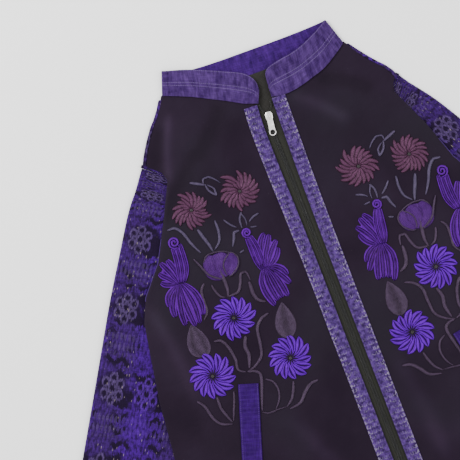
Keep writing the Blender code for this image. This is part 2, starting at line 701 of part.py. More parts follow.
def box_between(name, low, high, cloth):
    """A plain closed block between two corners."""
    mesh = bmesh.new()
    bmesh.ops.create_cube(mesh, size=1.0)
    size = [b - a for a, b in zip(low, high)]
    middle = [(a + b) / 2 for a, b in zip(low, high)]
    bmesh.ops.scale(mesh, vec=[s * MM for s in size], verts=mesh.verts)
    bmesh.ops.translate(mesh, vec=[m * MM for m in middle], verts=mesh.verts)
    return finish(name, mesh, cloth)


def tape_top(tapes, y):
    """Height of the higher of the two tapes, a little above both."""
    return max(float(np.interp(y, tape[:, 3, 1], tape[:, 3, 2])) for tape in tapes.values()) + SEAM


def make_chain(tapes):
    """The closed coil of the zip, a low strip along the middle, and its box at the hem end."""
    rows = []
    for y in list(np.linspace(ZIP_BOTTOM_Y, 150.0, 9)) + list(np.linspace(168.0, ZIP_TOP_Y, 6)):
        x = float(zip_x(y))
        z = tape_top(tapes, y)
        rows.append([(x - 3.0, y, z), (x - 1.6, y, z + 1.5), (x + 1.6, y, z + 1.5), (x + 3.0, y, z)])
    face = np.array(rows)
    base = face.copy()
    base[..., 2] = face[:, 0:1, 2]
    base[:, 1, 0] = face[:, 1, 0]
    lowered = base - np.array([0.0, 0.0, 0.0])
    face[:, 0, 2] += 0.5
    face[:, 3, 2] += 0.5
    shell("zip_chain", face, lowered, "zip_tape")
    z = tape_top(tapes, ZIP_BOTTOM_Y - 6.0)
    x = float(zip_x(ZIP_BOTTOM_Y - 6.0))
    box_between("zip_box", (x - 4.0, ZIP_BOTTOM_Y - 12.0, z), (x + 4.0, ZIP_BOTTOM_Y - SEAM, z + 2.2), "zip_metal")


def rounded_outline(half_width, low, high, corner, count=5):
    """A closed outline with round corners, as (x, y), seen from above."""
    points = []
    for cx, cy, begin in ((half_width - corner, high - corner, 0.0), (-half_width + corner, high - corner, 90.0),
                          (-half_width + corner, low + corner, 180.0), (half_width - corner, low + corner, 270.0)):
        for k in range(count):
            a = math.radians(begin + 90.0 * k / (count - 1))
            points.append((cx + corner * math.cos(a), cy + corner * math.sin(a)))
    return points


def plate(mesh, outline, low, high, hole=()):
    """Adds a flat plate, with an optional round or oblong hole of the same point count order, to a bmesh."""
    loops = []
    for ring in (outline, hole):
        if ring:
            loops.append([[mesh.verts.new((x, y, z)) for x, y in ring] for z in (low, high)])
    if not hole:
        (lower, upper), = loops
        mesh.faces.new(upper)
        mesh.faces.new(lower[::-1])
    for index, (lower, upper) in enumerate(loops):
        count = len(lower)
        for k in range(count):
            n = (k + 1) % count
            face = (lower[k], lower[n], upper[n], upper[k])
            mesh.faces.new(face if index == 0 else face[::-1])
    if hole:
        (low_out, up_out), (low_in, up_in) = loops
        count = len(low_out)
        for k in range(count):
            n = (k + 1) % count
            mesh.faces.new((up_out[k], up_out[n], up_in[n], up_in[k]))
            mesh.faces.new((low_out[k], low_in[k], low_in[n], low_out[n]))


# Zip slider and pull tab, in the slider's own frame: y up the zip and z off the cloth
SLIDER_WIDTH = 11.4
SLIDER_LENGTH = 13.0
SLIDER_PLATE = 1.3
SLIDER_HIGH = 4.4
BRIDGE_WIDTH = 2.2
BRIDGE_REACH = 4.4
BRIDGE_RISE = 3.4
PIVOT_UP = 1.35
TAB_THICK = 1.2
TAB_END = -30.5
TAB_HALF = 4.6
EYE_HALF = 1.9
EYE_END = -6.0
EYE_BAR = 0.85
TAB_RING = 5.2
TAB_HOLE = 2.7


def slider_place(z):
    """World matrix of the slider's frame, in metres, on the tape at height z in millimetres."""
    x = float(zip_x(SLIDER_Y))
    return Matrix.Translation((x * MM, SLIDER_Y * MM, z * MM)) @ Matrix.Rotation(SLIDER_TURN, 4, "Z")


def make_slider(z):
    """The slider's body: two plates on a wedge between the tapes, with the bridge that holds the pull tab."""
    mesh = bmesh.new()
    half, end = SLIDER_WIDTH / 2, SLIDER_LENGTH / 2
    levels = ((0.0, 0.86), (SLIDER_PLATE, 1.0), (SLIDER_PLATE + 0.2, 0.72), (SLIDER_HIGH - SLIDER_PLATE - 0.2, 0.72),
              (SLIDER_HIGH - SLIDER_PLATE, 1.0), (SLIDER_HIGH - 0.4, 0.98), (SLIDER_HIGH, 0.84))
    rings = []
    for height, share in levels:
        outline = rounded_outline(half * share, -end * share, end * share, 2.6 * share)
        rings.append([mesh.verts.new((x * (1.0 + 0.12 * y / end), y, height)) for x, y in outline])
    for lower, upper in zip(rings, rings[1:]):
        for k in range(len(lower)):
            n = (k + 1) % len(lower)
            mesh.faces.new((lower[k], lower[n], upper[n], upper[k]))
    mesh.faces.new(rings[-1])
    mesh.faces.new(rings[0][::-1])
    bmesh.ops.recalc_face_normals(mesh, faces=mesh.faces)
    body = finish("zip_slider", mesh, "zip_metal")
    body.data.transform(scale_matrix())
    body.matrix_world = slider_place(z)
    arch = bmesh.new()
    steps = 8
    sections = []
    for k in range(steps + 1):
        turn = math.pi * k / steps
        for_outer = (BRIDGE_REACH * math.cos(turn), BRIDGE_RISE * math.sin(turn) ** 0.6)
        for_inner = ((BRIDGE_REACH - 1.1) * math.cos(turn), (BRIDGE_RISE - 0.9) * math.sin(turn) ** 0.6)
        ring = []
        for sx, (y, up) in ((-1, for_outer), (1, for_outer), (1, for_inner), (-1, for_inner)):
            sunk = -0.8 if k in (0, steps) else 0.0
            ring.append(arch.verts.new((sx * BRIDGE_WIDTH / 2, y, SLIDER_HIGH + up + sunk)))
        sections.append(ring)
    for a, b in zip(sections, sections[1:]):
        for k in range(4):
            n = (k + 1) % 4
            arch.faces.new((a[k], a[n], b[n], b[k]))
    arch.faces.new(sections[0])
    arch.faces.new(sections[-1][::-1])
    bridge = finish("zip_bridge_part", arch, "zip_metal")
    bridge.data.transform(scale_matrix())
    bridge.matrix_world = slider_place(z)
    bridge.hide_render = True
    bridge.display_type = "WIRE"
    join = body.modifiers.new("bridge", "BOOLEAN")
    join.operation = "UNION"
    join.object = bridge
    return body


def scale_matrix():
    """Millimetres to metres."""
    return Matrix.Scale(MM, 4)


def make_pull(z):
    """The pull tab: a flat tongue with an eye round the bridge and a round hole at its free end."""
    mesh = bmesh.new()
    count = 24
    # The tongue is an upper plate with the eye, a round end with the hole, and a neck that joins them.
    eye = rounded_outline(EYE_HALF, EYE_END, -EYE_BAR, 0.5, count // 4)
    middle = -15.0
    upper = rounded_outline(TAB_HALF * 0.92, middle, EYE_BAR, 0.8, count // 4)
    centre = TAB_END + TAB_RING
    lower, hole = [], []
    for k in range(count):
        turn = math.pi * 2 * k / count
        lower.append((TAB_RING * math.cos(turn), centre + TAB_RING * math.sin(turn)))
        hole.append((TAB_HOLE * math.cos(turn), centre + TAB_HOLE * math.sin(turn)))
    plate(mesh, upper, -TAB_THICK / 2, TAB_THICK / 2, eye)
    body = finish("zip_pull", mesh, "zip_metal")
    ring_mesh = bmesh.new()
    plate(ring_mesh, lower, -TAB_THICK / 2 - 0.05, TAB_THICK / 2 + 0.05, hole)
    ring = finish("zip_pull_ring_part", ring_mesh, "zip_metal")
    neck_mesh = bmesh.new()
    neck = [(-TAB_HALF * 0.86, middle + 3.0), (-TAB_RING * 0.9, centre + TAB_RING * 0.6),
            (TAB_RING * 0.9, centre + TAB_RING * 0.6), (TAB_HALF * 0.86, middle + 3.0)]
    plate(neck_mesh, neck, -TAB_THICK / 2 + 0.03, TAB_THICK / 2 - 0.03)
    stem = finish("zip_pull_neck_part", neck_mesh, "zip_metal")
    place = slider_place(z) @ pull_place()
    for made in (body, ring, stem):
        made.data.transform(scale_matrix())
        made.matrix_world = place
    for part in (stem, ring):
        part.hide_render = True
        part.display_type = "WIRE"
        join = body.modifiers.new(part.name, "BOOLEAN")
        join.operation = "UNION"
        join.object = part
    return body


TAB_DROOP = math.radians(-4.5)


def pull_place():
    """The pull tab's frame in the slider's: its origin is on the pivot's axis, and it lies down along the zip."""
    up = (SLIDER_HIGH + PIVOT_UP) * MM
    return Matrix.Translation((0.0, 0.0, up)) @ Matrix.Rotation(-TAB_DROOP, 4, "X")


def resting_on(name):
    """A function that gives the height of a node's top surface above a point, in millimetres."""
    data = bpy.data.objects[name].data
    tree = BVHTree.FromPolygons([v.co / MM for v in data.vertices], [tuple(p.vertices) for p in data.polygons])

    def height(x, y):
        hit = tree.ray_cast(Vector((x, y, 100.0)), Vector((0.0, 0.0, -1.0)))[0]
        return hit.z if hit else float(front_top(np.array([x]), np.array([y]))[0])

    return height


def make_welt(side, name, height):
    """A slanted pocket welt: a folded strip stitched on the front."""
    across = np.array([math.cos(WELT_SLANT), math.sin(WELT_SLANT)])
    down = np.array([math.sin(WELT_SLANT), -math.cos(WELT_SLANT)])
    top = np.array(motif_point(side, WELT_TOP[0], WELT_TOP[1], raw=True))
    if side > 0:
        turned = LEFT_MOTIF_TURN
        spin = np.array([[math.cos(turned), -math.sin(turned)], [math.sin(turned), math.cos(turned)]])
        across, down = spin @ across, spin @ down
    rows = []
    for v in np.linspace(0.0, 1.0, 13):
        row = []
        for u in np.linspace(-0.5, 0.5, 5):
            out, y = top + across * u * WELT_SIZE[0] + down * v * WELT_SIZE[1]
            row.append((side * out, y, 0.0))
        rows.append(row)
    base = np.array(rows)
    for point in base.reshape(-1, 3):
        point[2] = height(point[0], point[1]) + PAD_GAP
    shell(name, base + np.array([0.0, 0.0, WELT_CLOTH]), base, "welt_cloth")


def motif_point(side, out, y, raw=False):
    """Where a point of the embroidery lies on a front, as (x, y), or as (out, y) when raw is set."""
    if side > 0:
        px, py = LEFT_MOTIF_PIVOT
        dx, dy = out - px, y - py
        c, s = math.cos(LEFT_MOTIF_TURN), math.sin(LEFT_MOTIF_TURN)
        out, y = px + dx * c - dy * s + LEFT_MOTIF_MOVE[0], py + dx * s + dy * c + LEFT_MOTIF_MOVE[1]
    return (out, y) if raw else (side * out, y)


def pad(name, side, centre, rim, cloth, height):
    """A raised pad of stitches over the front: a rim of points, a smaller ring and a middle point, with an underside."""
    mesh = bmesh.new()
    layers = []
    for rise in (0.0, THREAD_PAD):
        rings = []
        for share, swell in ((1.0, 0.8), (0.5, 1.15)):
            ring = []
            for out, y in rim:
                near = between(centre, (out, y), share)
                x, y = motif_point(side, *near)
                ring.append(mesh.verts.new((x * MM, y * MM, (height(x, y) + PAD_GAP + rise * swell) * MM)))
            rings.append(ring)
        x, y = motif_point(side, *centre)
        layers.append((rings, mesh.verts.new((x * MM, y * MM, (height(x, y) + PAD_GAP + rise * 1.25) * MM))))
    for (rim_ring, mid_ring), middle in layers:
        for k in range(len(rim)):
            n = (k + 1) % len(rim)
            mesh.faces.new((rim_ring[k], rim_ring[n], mid_ring[n], mid_ring[k]))
            mesh.faces.new((mid_ring[k], mid_ring[n], middle))
    low, top = layers[0][0][0], layers[1][0][0]
    for k in range(len(rim)):
        n = (k + 1) % len(rim)
        mesh.faces.new((low[k], low[n], top[n], top[k]))
    return finish(name, mesh, cloth)


def flower_rim(flower):
    """Rim of a flower: pointed petals that lean round in one direction."""
    rim = []
    for petal in range(flower.petals):
        start = 2 * math.pi * petal / flower.petals + flower.turn
        width = 2 * math.pi / flower.petals
        for part, share in ((0.0, 0.74), (0.55, 1.0)):
            angle = start + width * part
            rim.append((flower.out + flower.radius * share * math.cos(angle),
                        flower.y + flower.radius * share * math.sin(angle)))
    return rim


def make_embroidery(side, hand, height):
    for flower in FLOWERS:
        pad(f"{flower.name}_{hand}", side, (flower.out, flower.y), flower_rim(flower), flower.cloth, height)
    for figure in FIGURES:
        rim = []
        for angle, radius in figure.rim:
            # A figure is drawn as it shows on the wearer's right front, where x falls as out rises.
            a = math.radians(180.0 - angle)
            rim.append((figure.out + radius * math.cos(a), figure.y + radius * math.sin(a)))
        pad(f"{figure.name}_{hand}", side, (figure.out, figure.y), rim, figure.cloth, height)


def clear_scene():
    for found in list(bpy.data.objects):
        bpy.data.objects.remove(found, do_unlink=True)


def build():
    clear_scene()
    make_facing("back_facing")
    make_collar("collar")
    tapes = {}
    grids = {}
    for side, hand in ((-1, "right"), (1, "left")):
        make_sleeve(side, f"sleeve_{hand}")
        grid = grids[side] = make_front(side, f"front_{hand}")
        make_band(side, f"band_{hand}", grid)
        tapes[side] = make_tape(side, f"zip_tape_{hand}", grid)
        height = resting_on(f"front_{hand}")
        make_welt(side, f"pocket_welt_{hand}", height)
        make_embroidery(side, hand, height)
    make_back("back", grids)
    make_chain(tapes)
    seat = tape_top(tapes, SLIDER_Y)
    make_slider(seat)
    make_pull(seat)
    pivot = slider_place(seat) @ pull_place()
    print("pull pivot", [round(v, 5) for v in pivot.translation], "axis", [round(-v, 5) for v in pivot.col[0][:3]])


build()
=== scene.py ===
"""A zip jacket laid flat: black embroidered fronts, and patterned cloth sleeves, back, collar and bands."""

import math
from collections import namedtuple

import bmesh
import bpy
import numpy as np
from mathutils import Matrix, Vector, noise
from mathutils.bvhtree import BVHTree


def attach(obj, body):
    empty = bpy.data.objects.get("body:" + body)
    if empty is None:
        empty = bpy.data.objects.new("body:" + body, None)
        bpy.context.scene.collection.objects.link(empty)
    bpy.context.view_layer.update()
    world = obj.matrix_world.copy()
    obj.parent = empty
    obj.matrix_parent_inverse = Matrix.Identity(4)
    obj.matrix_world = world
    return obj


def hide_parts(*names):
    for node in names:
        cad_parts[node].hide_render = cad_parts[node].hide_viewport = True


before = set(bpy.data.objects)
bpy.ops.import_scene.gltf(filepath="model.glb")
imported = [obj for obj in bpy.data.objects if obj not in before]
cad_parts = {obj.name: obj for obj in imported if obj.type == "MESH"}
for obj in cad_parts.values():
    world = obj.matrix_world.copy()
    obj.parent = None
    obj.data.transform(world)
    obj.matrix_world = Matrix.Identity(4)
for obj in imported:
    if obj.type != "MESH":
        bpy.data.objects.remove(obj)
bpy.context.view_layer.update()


# The surface that the jacket lies on is a wide pale board.
# It is part of the studio.
MM = 0.001
BOARD_SIZE = 6.0
BOARD_DROP = 0.3


class Signal:
    """The first output of a shader node. Working with it adds more nodes to its tree."""

    def __init__(self, socket):
        self.socket = socket

    def other(self, name):
        """Another output of the same node."""
        return Signal(self.socket.node.outputs[name])

    def to(self, kind, inputs=(), **settings):
        """Adds a node to the same tree."""
        return wire(self.socket.id_data, kind, inputs, **settings)

    def math(self, operation, second=0.0, clamp=False):
        """A Math node that starts from this one."""
        return self.to("ShaderNodeMath", {0: self, 1: second}, operation=operation, use_clamp=clamp)

    def __add__(self, second):
        return self.math("ADD", second)

    def __sub__(self, second):
        return self.math("SUBTRACT", second)

    def __rsub__(self, first):
        return self.to("ShaderNodeMath", {0: first, 1: self}, operation="SUBTRACT")

    def __mul__(self, second):
        return self.math("MULTIPLY", second)

    def __truediv__(self, second):
        return self.math("DIVIDE", second)

    def __lt__(self, second):
        return self.math("LESS_THAN", second)

    def __gt__(self, second):
        return self.math("GREATER_THAN", second)

    def __abs__(self):
        return self.math("ABSOLUTE")

    def spread(self, low, high, bottom=0.0, top=1.0, smooth=False):
        """Maps the range from low to high to another one, and stops at its ends."""
        ends = {"Value": self, "From Min": low, "From Max": high, "To Min": bottom, "To Max": top}
        shape = "SMOOTHSTEP" if smooth else "LINEAR"
        return self.to("ShaderNodeMapRange", ends, interpolation_type=shape)

    def axes(self):
        """The three parts of a vector."""
        parts = self.to("ShaderNodeSeparateXYZ", {0: self})
        return [parts.other(index) for index in range(3)]

    def scaled(self, *scale):
        """A vector stretched along each axis."""
        return self.to("ShaderNodeMapping", {"Vector": self, "Scale": scale})

    def turned(self, degrees):
        """A vector turned about the upright axis."""
        return self.to("ShaderNodeMapping", {"Vector": self, "Rotation": (0.0, 0.0, math.radians(degrees))})

    def cloud(self, scale, detail, roughness=0.5, distortion=0.0):
        """Soft noise over the places that a vector gives."""
        grain = {"Scale": scale, "Detail": detail, "Roughness": roughness, "Distortion": distortion}
        return self.to("ShaderNodeTexNoise", {"Vector": self, **grain})


def feed(socket, value):
    """Gives a socket its value, which is plain or another node's output."""
    if isinstance(value, Signal):
        socket.id_data.links.new(value.socket, socket)
    elif socket.type == "RGBA":
        socket.default_value = (*value, 1.0)
    else:
        socket.default_value = value


def wire(tree, kind, inputs=(), **settings):
    """Adds a shader node with its settings and inputs."""
    node = tree.nodes.new(kind)
    for name, value in settings.items():
        setattr(node, name, value)
    for key, value in dict(inputs).items():
        feed(node.inputs[key], value)
    return Signal(node.outputs[0])


def mix(share, first, second):
    """Mixes two colours by a share from 0 to 1."""
    return share.to("ShaderNodeMix", {0: share, 6: first, 7: second}, data_type="RGBA").other(2)


def new_finish(name):
    """An empty material and its Principled shader."""
    made = bpy.data.materials.new(name)
    made.use_nodes = True
    return made, made.node_tree.nodes["Principled BSDF"]


def placed(name, data):
    """A new object in the scene."""
    made = bpy.data.objects.new(name, data)
    bpy.context.scene.collection.objects.link(made)
    return made


board_finish, shader = new_finish("pale_board")
feed(shader.inputs["Base Color"], (0.93, 0.93, 0.93))
feed(shader.inputs["Roughness"], 0.9)
board_mesh = bmesh.new()
bmesh.ops.create_grid(board_mesh, x_segments=1, y_segments=1, size=BOARD_SIZE / 2)
bmesh.ops.translate(board_mesh, vec=(0.0, 0.0, -BOARD_DROP * MM), verts=board_mesh.verts)
board_data = bpy.data.meshes.new("board")
board_mesh.to_mesh(board_data)
board_mesh.free()
board_data.materials.append(board_finish)
placed("board", board_data)


# The camera looks straight down, turned so that the jacket lies askew in the frame.
# Its frame is 690 mm wide, and takes in the collar, the zip and one shoulder.
VIEW_CENTRE = (-109.0, 108.3)
VIEW_WIDTH = 690.0
VIEW_TURN = math.radians(-20.0)
VIEW_HEIGHT = 2400.0

lens = bpy.data.cameras.new("camera")
lens.sensor_width = 36.0
lens.lens = lens.sensor_width * VIEW_HEIGHT / VIEW_WIDTH
lens.clip_start = 0.05
lens.clip_end = 50.0
camera = placed("camera", lens)
camera.location = (VIEW_CENTRE[0] * MM, VIEW_CENTRE[1] * MM, VIEW_HEIGHT * MM)
camera.rotation_euler = (0.0, 0.0, VIEW_TURN)
bpy.context.scene.camera = camera


# Soft studio light: one broad lamp high on the left, a weaker one opposite, and a pale surround.
# The low angle of the first lets the folds and the raised threads show.
Lamp = namedtuple("Lamp", "name place size power")
LAMPS = (
    Lamp("key_lamp", (-1.5, 1.6, 1.7), 1.4, 100.0),
    Lamp("fill_lamp", (1.8, -0.6, 2.0), 2.2, 44.0),
)

for lamp in LAMPS:
    light = bpy.data.lights.new(lamp.name, "AREA")
    light.shape = "DISK"
    light.size = lamp.size
    light.energy = lamp.power
    lamp_object = placed(lamp.name, light)
    lamp_object.location = lamp.place
    lamp_object.rotation_euler = (-Vector(lamp.place)).to_track_quat("-Z", "Y").to_euler()
world = bpy.data.worlds.new("surround")
world.use_nodes = True
surround = world.node_tree.nodes["Background"]
feed(surround.inputs["Color"], (1.0, 1.0, 1.0))
feed(surround.inputs["Strength"], 1.2)
bpy.context.scene.world = world


# The sleeves are handwoven cotton, dyed in its pattern before weaving, so every edge in it is feathered.
# Each is a tube pressed flat, with its inner half under the body, and it starts at the armhole seam.
Station = namedtuple("Station", "out y width tilt loft free")
SLEEVE_RIGHT = (
    Station(202, 240, 75, 37, 0, 35),
    Station(212, 226, 88, 36, 0.2, 45),
    Station(222, 212, 100, 35, 0.6, 47),
    Station(244.5, 183, 125, 33, 1.6, 55),
    Station(280, 126, 146, 31, 2.4, 59),
    Station(315, 69, 158, 30, 2.8, 55),
    Station(354.5, 0, 160, 29.7, 3, 78),
    Station(394.5, -70, 157, 29.7, 2.8, 111),
    Station(435, -140.5, 150, 29.7, 2.4, 138),
    Station(482, -222, 136, 29.7, 1.4, 124),
)
SLEEVE_LEFT = (
    Station(208.5, 240, 72, 47, 0, 21),
    Station(218, 226, 86, 43, 0.2, 27),
    Station(229, 212, 100, 39, 0.6, 31),
    Station(250.5, 183, 125, 35, 1.6, 38),
    Station(285.5, 126, 146, 32, 2.4, 51),
    Station(320, 69, 158, 30.3, 2.8, 55),
    Station(358, 0, 160, 29.7, 3, 79),
    Station(397, -70, 157, 29.7, 2.8, 112),
    Station(436.5, -140.5, 150, 29.7, 2.4, 138),
    Station(482, -222, 136, 29.7, 1.4, 124),
)
HANDS = ((-1, "right"), (1, "left"))
SLEEVE_THICK = 4.6
SLEEVE_COLUMNS = 64
SLEEVE_ROWS = 120
SLEEVE_CLOTH = 1.2
SLEEVE_OUTSIDE = 0.66
SLEEVE_LENGTH = 540.0
IKAT_DARK = (0.0036, 0.002, 0.0085)
IKAT_VIOLET = (0.034, 0.001, 0.135)
IKAT_GREY = (0.025, 0.008, 0.066)
IKAT_BRIGHT = (0.054, 0.008, 0.185)
IKAT_PALE = (0.054, 0.033, 0.098)
IKAT_FLECK = (0.2, 0.17, 0.14)
ROW_REPEAT = 0.092
ROSETTE_PITCH = 0.052
RING_TURN = 2 * math.pi / 6
CHARTS = ("cloth", "form")


def ease(value):
    """Smooth rise from 0 to 1."""
    t = min(max(value, 0.0), 1.0)
    return t * t * (3.0 - 2.0 * t)


def along_table(table, place):
    """The values of a table at a place between its lines, on a smooth curve through them."""
    place = min(max(place, 0.0), len(table) - 1.0)
    i = min(int(place), len(table) - 2)
    t = place - i
    rows = [table[min(max(i + k, 0), len(table) - 1)] for k in (-1, 0, 1, 2)]
    values = []
    for a, b, c, d in zip(*rows):
        curve = 2 * b + (c - a) * t + (2 * a - 5 * b + 4 * c - d) * t * t + (3 * b - a - 3 * c + d) * t ** 3
        values.append(min(max(curve / 2, min(a, b, c, d)), max(a, b, c, d)))
    return values


def cloth_sheet(name, columns, rows, place, around=False):
    """A fine sheet of cloth. place gives each point in millimetres, then its spot on each of its charts.

    The first chart is the cloth itself, in metres. The second, where there is one, is a place in its form.
    """
    mesh = bmesh.new()
    bmesh.ops.create_grid(mesh, x_segments=columns, y_segments=rows, size=0.5)
    spots = {}
    for vert in mesh.verts:
        point, *spots[vert] = place(vert.co.x + 0.5, vert.co.y + 0.5)
        vert.co = Vector(point) * MM
    for index in range(len(spots[mesh.verts[:][0]])):
        chart = mesh.loops.layers.uv.new(CHARTS[index])
        for face in mesh.faces:
            for loop in face.loops:
                loop[chart].uv = spots[loop.vert][index]
    if around:
        bmesh.ops.remove_doubles(mesh, verts=mesh.verts, dist=0.002 * MM)
        bmesh.ops.recalc_face_normals(mesh, faces=mesh.faces)
    else:
        mesh.normal_update()
        if sum(face.normal.z * face.calc_area() for face in mesh.faces) < 0.0:
            bmesh.ops.reverse_faces(mesh, faces=mesh.faces)
    return mesh


def soften(made, width, segments, degrees):
    """Rounds an object's sharp edges."""
    edge = made.modifiers.new("edge", "BEVEL")
    edge.width = width * MM
    edge.segments = segments
    edge.limit_method = "ANGLE"
    edge.angle_limit = math.radians(degrees)
    return edge


def as_piece(name, mesh, finish, nodes=(), body="jacket", wall=0.0):
    """Makes a finished object of a bmesh, and gives it its wall, material, body and CAD nodes."""
    data = bpy.data.meshes.new(name)
    mesh.to_mesh(data)
    mesh.free()
    data.shade_smooth()
    data.materials.append(finish)
    made = placed(name, data)
    if wall:
        thick = made.modifiers.new("wall", "SOLIDIFY")
        thick.thickness = wall * MM
        thick.offset = -1.0
        soften(made, min(wall * 0.3, 0.4), 2, 60.0)
    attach(made, body)
    if nodes:
        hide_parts(*nodes)
    return made


def chart(shader, name="cloth"):
    """A piece's own chart of that name."""
    return wire(shader.id_data, "ShaderNodeUVMap", uv_map=name)


def solid_spot(shader):
    """The place of each point in its object."""
    return wire(shader.id_data, "ShaderNodeTexCoord").other("Object")


def paint(shader, colour):
    """Gives a shader its colour."""
    feed(shader.inputs["Base Color"], colour)


def shaded(value, colour):
    """A colour made darker or brighter by a factor."""
    return value.to("ShaderNodeHueSaturation", {"Value": value, "Color": colour})


def bump(shader, height, strength, distance):
    """Feeds a height to the shader's normal."""
    feed(shader.inputs["Normal"],
         height.to("ShaderNodeBump", {"Height": height, "Strength": strength, "Distance": distance}))


def soft_surface(shader, roughness, tint, sheen=0.0, level=0.2):
    """Gives a shader the dull, tinted shine of dyed thread."""
    for name, value in (("Roughness", roughness), ("Specular IOR Level", level), ("Specular Tint", tint),
                        ("Sheen Weight", sheen), ("Sheen Roughness", 0.5), ("Sheen Tint", tint)):
        feed(shader.inputs[name], value)


def weave(spot, threads, slub):
    """The height of a plain weave, and a mask of the slubs where one of its yarns is thicker."""
    x, y, _ = spot.axes()
    cross = (x * (threads * math.pi)).math("SINE") * (y * (threads * math.pi)).math("SINE")
    warp_slubs = spot.scaled(900.0, 60.0, 60.0).cloud(1.0, 1.0)
    weft_slubs = spot.scaled(60.0, 900.0, 60.0).cloud(1.0, 1.0)
    slubs = (warp_slubs + weft_slubs) * 0.5
    return cross * 0.25 + slubs * slub, slubs


def specks(spot, scale, size, rarity):
    """Small dots scattered over a surface. Only a few of its cells have one."""
    cells = spot.to("ShaderNodeTexVoronoi", {"Vector": spot, "Scale": scale})
    pick = cells.to("ShaderNodeSeparateColor", {0: cells.other("Color")})
    return (cells < size) * (pick > rarity)


def dyed_pattern(spot):
    """Rows of rosettes between bands of dashes and zigzags, which repeat along the cloth.

    Gives masks of the violet ground, the pale lines, the bright flecks and the greyer columns.
    """
    x, y, _ = spot.axes()
    feathering = spot.scaled(700.0, 55.0, 1.0).cloud(1.0, 2.0)
    run = y + (feathering - 0.5) * 0.011
    row = (run / ROW_REPEAT).math("FRACT")
    east = ((x / ROSETTE_PITCH).math("FRACT") - 0.5) * ROSETTE_PITCH
    north = (row - 0.3) * ROW_REPEAT
    reach = (east * east + north * north).math("SQRT")
    turn = ((north.math("ARCTAN2", east) / RING_TURN + 8.0).math("FRACT") - 0.5) * RING_TURN
    ahead = reach * turn.math("COSINE") - 0.0128
    aside = reach * turn.math("SINE")
    ring = (ahead * ahead + aside * aside).math("SQRT")
    rosette = abs(ring - 0.0049).math("MINIMUM", abs(reach - 0.0052)).spread(0.002, 0.0009, smooth=True)
    dash_across = (x * (2 * math.pi / 0.0062)).math("SINE")
    dash_along = (run * (2 * math.pi / 0.0115)).math("SINE")
    dashes = (dash_across + dash_along * 0.8 > 0.35) * abs(row - 0.74).spread(0.17, 0.13, smooth=True)
    zigzag = ((run + x.math("PINGPONG", 0.011) * 0.7) / 0.0152).math("FRACT") > 0.45
    patch = spot.cloud(34.0, 3.0)
    field = reach.spread(0.012, 0.0245, smooth=True) * patch.spread(0.42, 0.56, smooth=True)
    ground = (abs(row - 0.3) > 0.2) * zigzag * (1.0 - dashes)
    blotches = spot.scaled(330.0, 170.0, 1.0).cloud(1.0, 2.0).spread(0.36, 0.58, 0.25)
    violet = (ground * 0.9).math("MAXIMUM", field * 0.85)
    violet = violet.math("MULTIPLY", feathering * 1.6 + 0.2, clamp=True)
    pale = rosette.math("MULTIPLY", blotches * 0.6 + 0.25, clamp=True).math("MAXIMUM", dashes * 0.42)
    fleck = specks(spot.scaled(520.0, 190.0, 1.0), 1.0, 0.3, 0.93)
    columns = (x / ROSETTE_PITCH * math.pi).math("SINE") + (patch - 0.5) * 2.4
    return violet * blotches, pale, fleck, columns.spread(-0.5, 0.7, smooth=True)


def ikat_finish(name, violet):
    """Handwoven cloth with the dyed pattern. Every second column of it is greyer."""
    made, shader = new_finish(name)
    spot = chart(shader)
    ground, pale, fleck, grey = dyed_pattern(spot)
    height, slubs = weave(spot, 900.0, 0.8)
    colour = mix(ground, IKAT_DARK, mix(grey * 0.75, violet, IKAT_GREY))
    colour = mix(pale * 0.9, colour, mix(grey, IKAT_BRIGHT, IKAT_PALE))
    colour = mix(fleck * 0.55, colour, IKAT_FLECK)
    paint(shader, shaded(slubs.spread(0.3, 0.7, 0.55, 1.5), colour))
    soft_surface(shader, 0.88, (0.75, 0.45, 1.0), sheen=0.08)
    bump(shader, height, 0.7, 0.0006)
    return made


sleeve_finish = ikat_finish("ikat_cloth_sleeve", IKAT_VIOLET)


def sleeve_place(table, side):
    """Where each point of a sleeve lies, round the tube and along it."""
    def place(u, v):
        out, y, width, tilt, loft, free = along_table(table, v * (len(table) - 1))
        on_top = u <= SLEEVE_OUTSIDE
        share = u / SLEEVE_OUTSIDE if on_top else (1.0 - u) / (1.0 - SLEEVE_OUTSIDE)
        share -= math.sin(2 * math.pi * share) / (2 * math.pi) * 0.55
        across = width * share
        rim = min(across, width - across)
        round_off = math.sqrt(max(0.0, 1.0 - (1.0 - min(rim / 5.0, 1.0)) ** 2))
        shown = ease((free - 5.0 - across) / 34.0)
        along = SLEEVE_LENGTH * v
        ripple = 1.1 * noise.noise(Vector((across / 34.0, along / 90.0, 3.0 * side)))
        ripple += 0.5 * noise.noise(Vector((across / 12.0, along / 40.0, 7.0 * side)))
        crease = 1.3 * math.exp(-((along - 255.0 + across * 0.4) / 9.0) ** 2) * ease((across - 12.0) / 30.0)
        middle = SLEEVE_THICK / 2
        if on_top:
            z = middle + (middle + (loft + (ripple - crease) * min(loft, 1.0)) * shown) * round_off
        else:
            z = middle - middle * round_off
        angle = math.radians(tilt)
        x = out - across * math.cos(angle)
        around = across if on_top else -across
        return (side * x, y - across * math.sin(angle), z), (around * MM, along * MM)
    return place


for (side, hand), table in zip(HANDS, (SLEEVE_RIGHT, SLEEVE_LEFT)):
    nodes = [f"sleeve_{hand}"]
    mesh = cloth_sheet(f"sleeve_{hand}", SLEEVE_COLUMNS, SLEEVE_ROWS, sleeve_place(table, side), around=True)
    sleeve = as_piece(f"sleeve_{hand}_cloth", mesh, sleeve_finish, nodes, wall=SLEEVE_CLOTH)


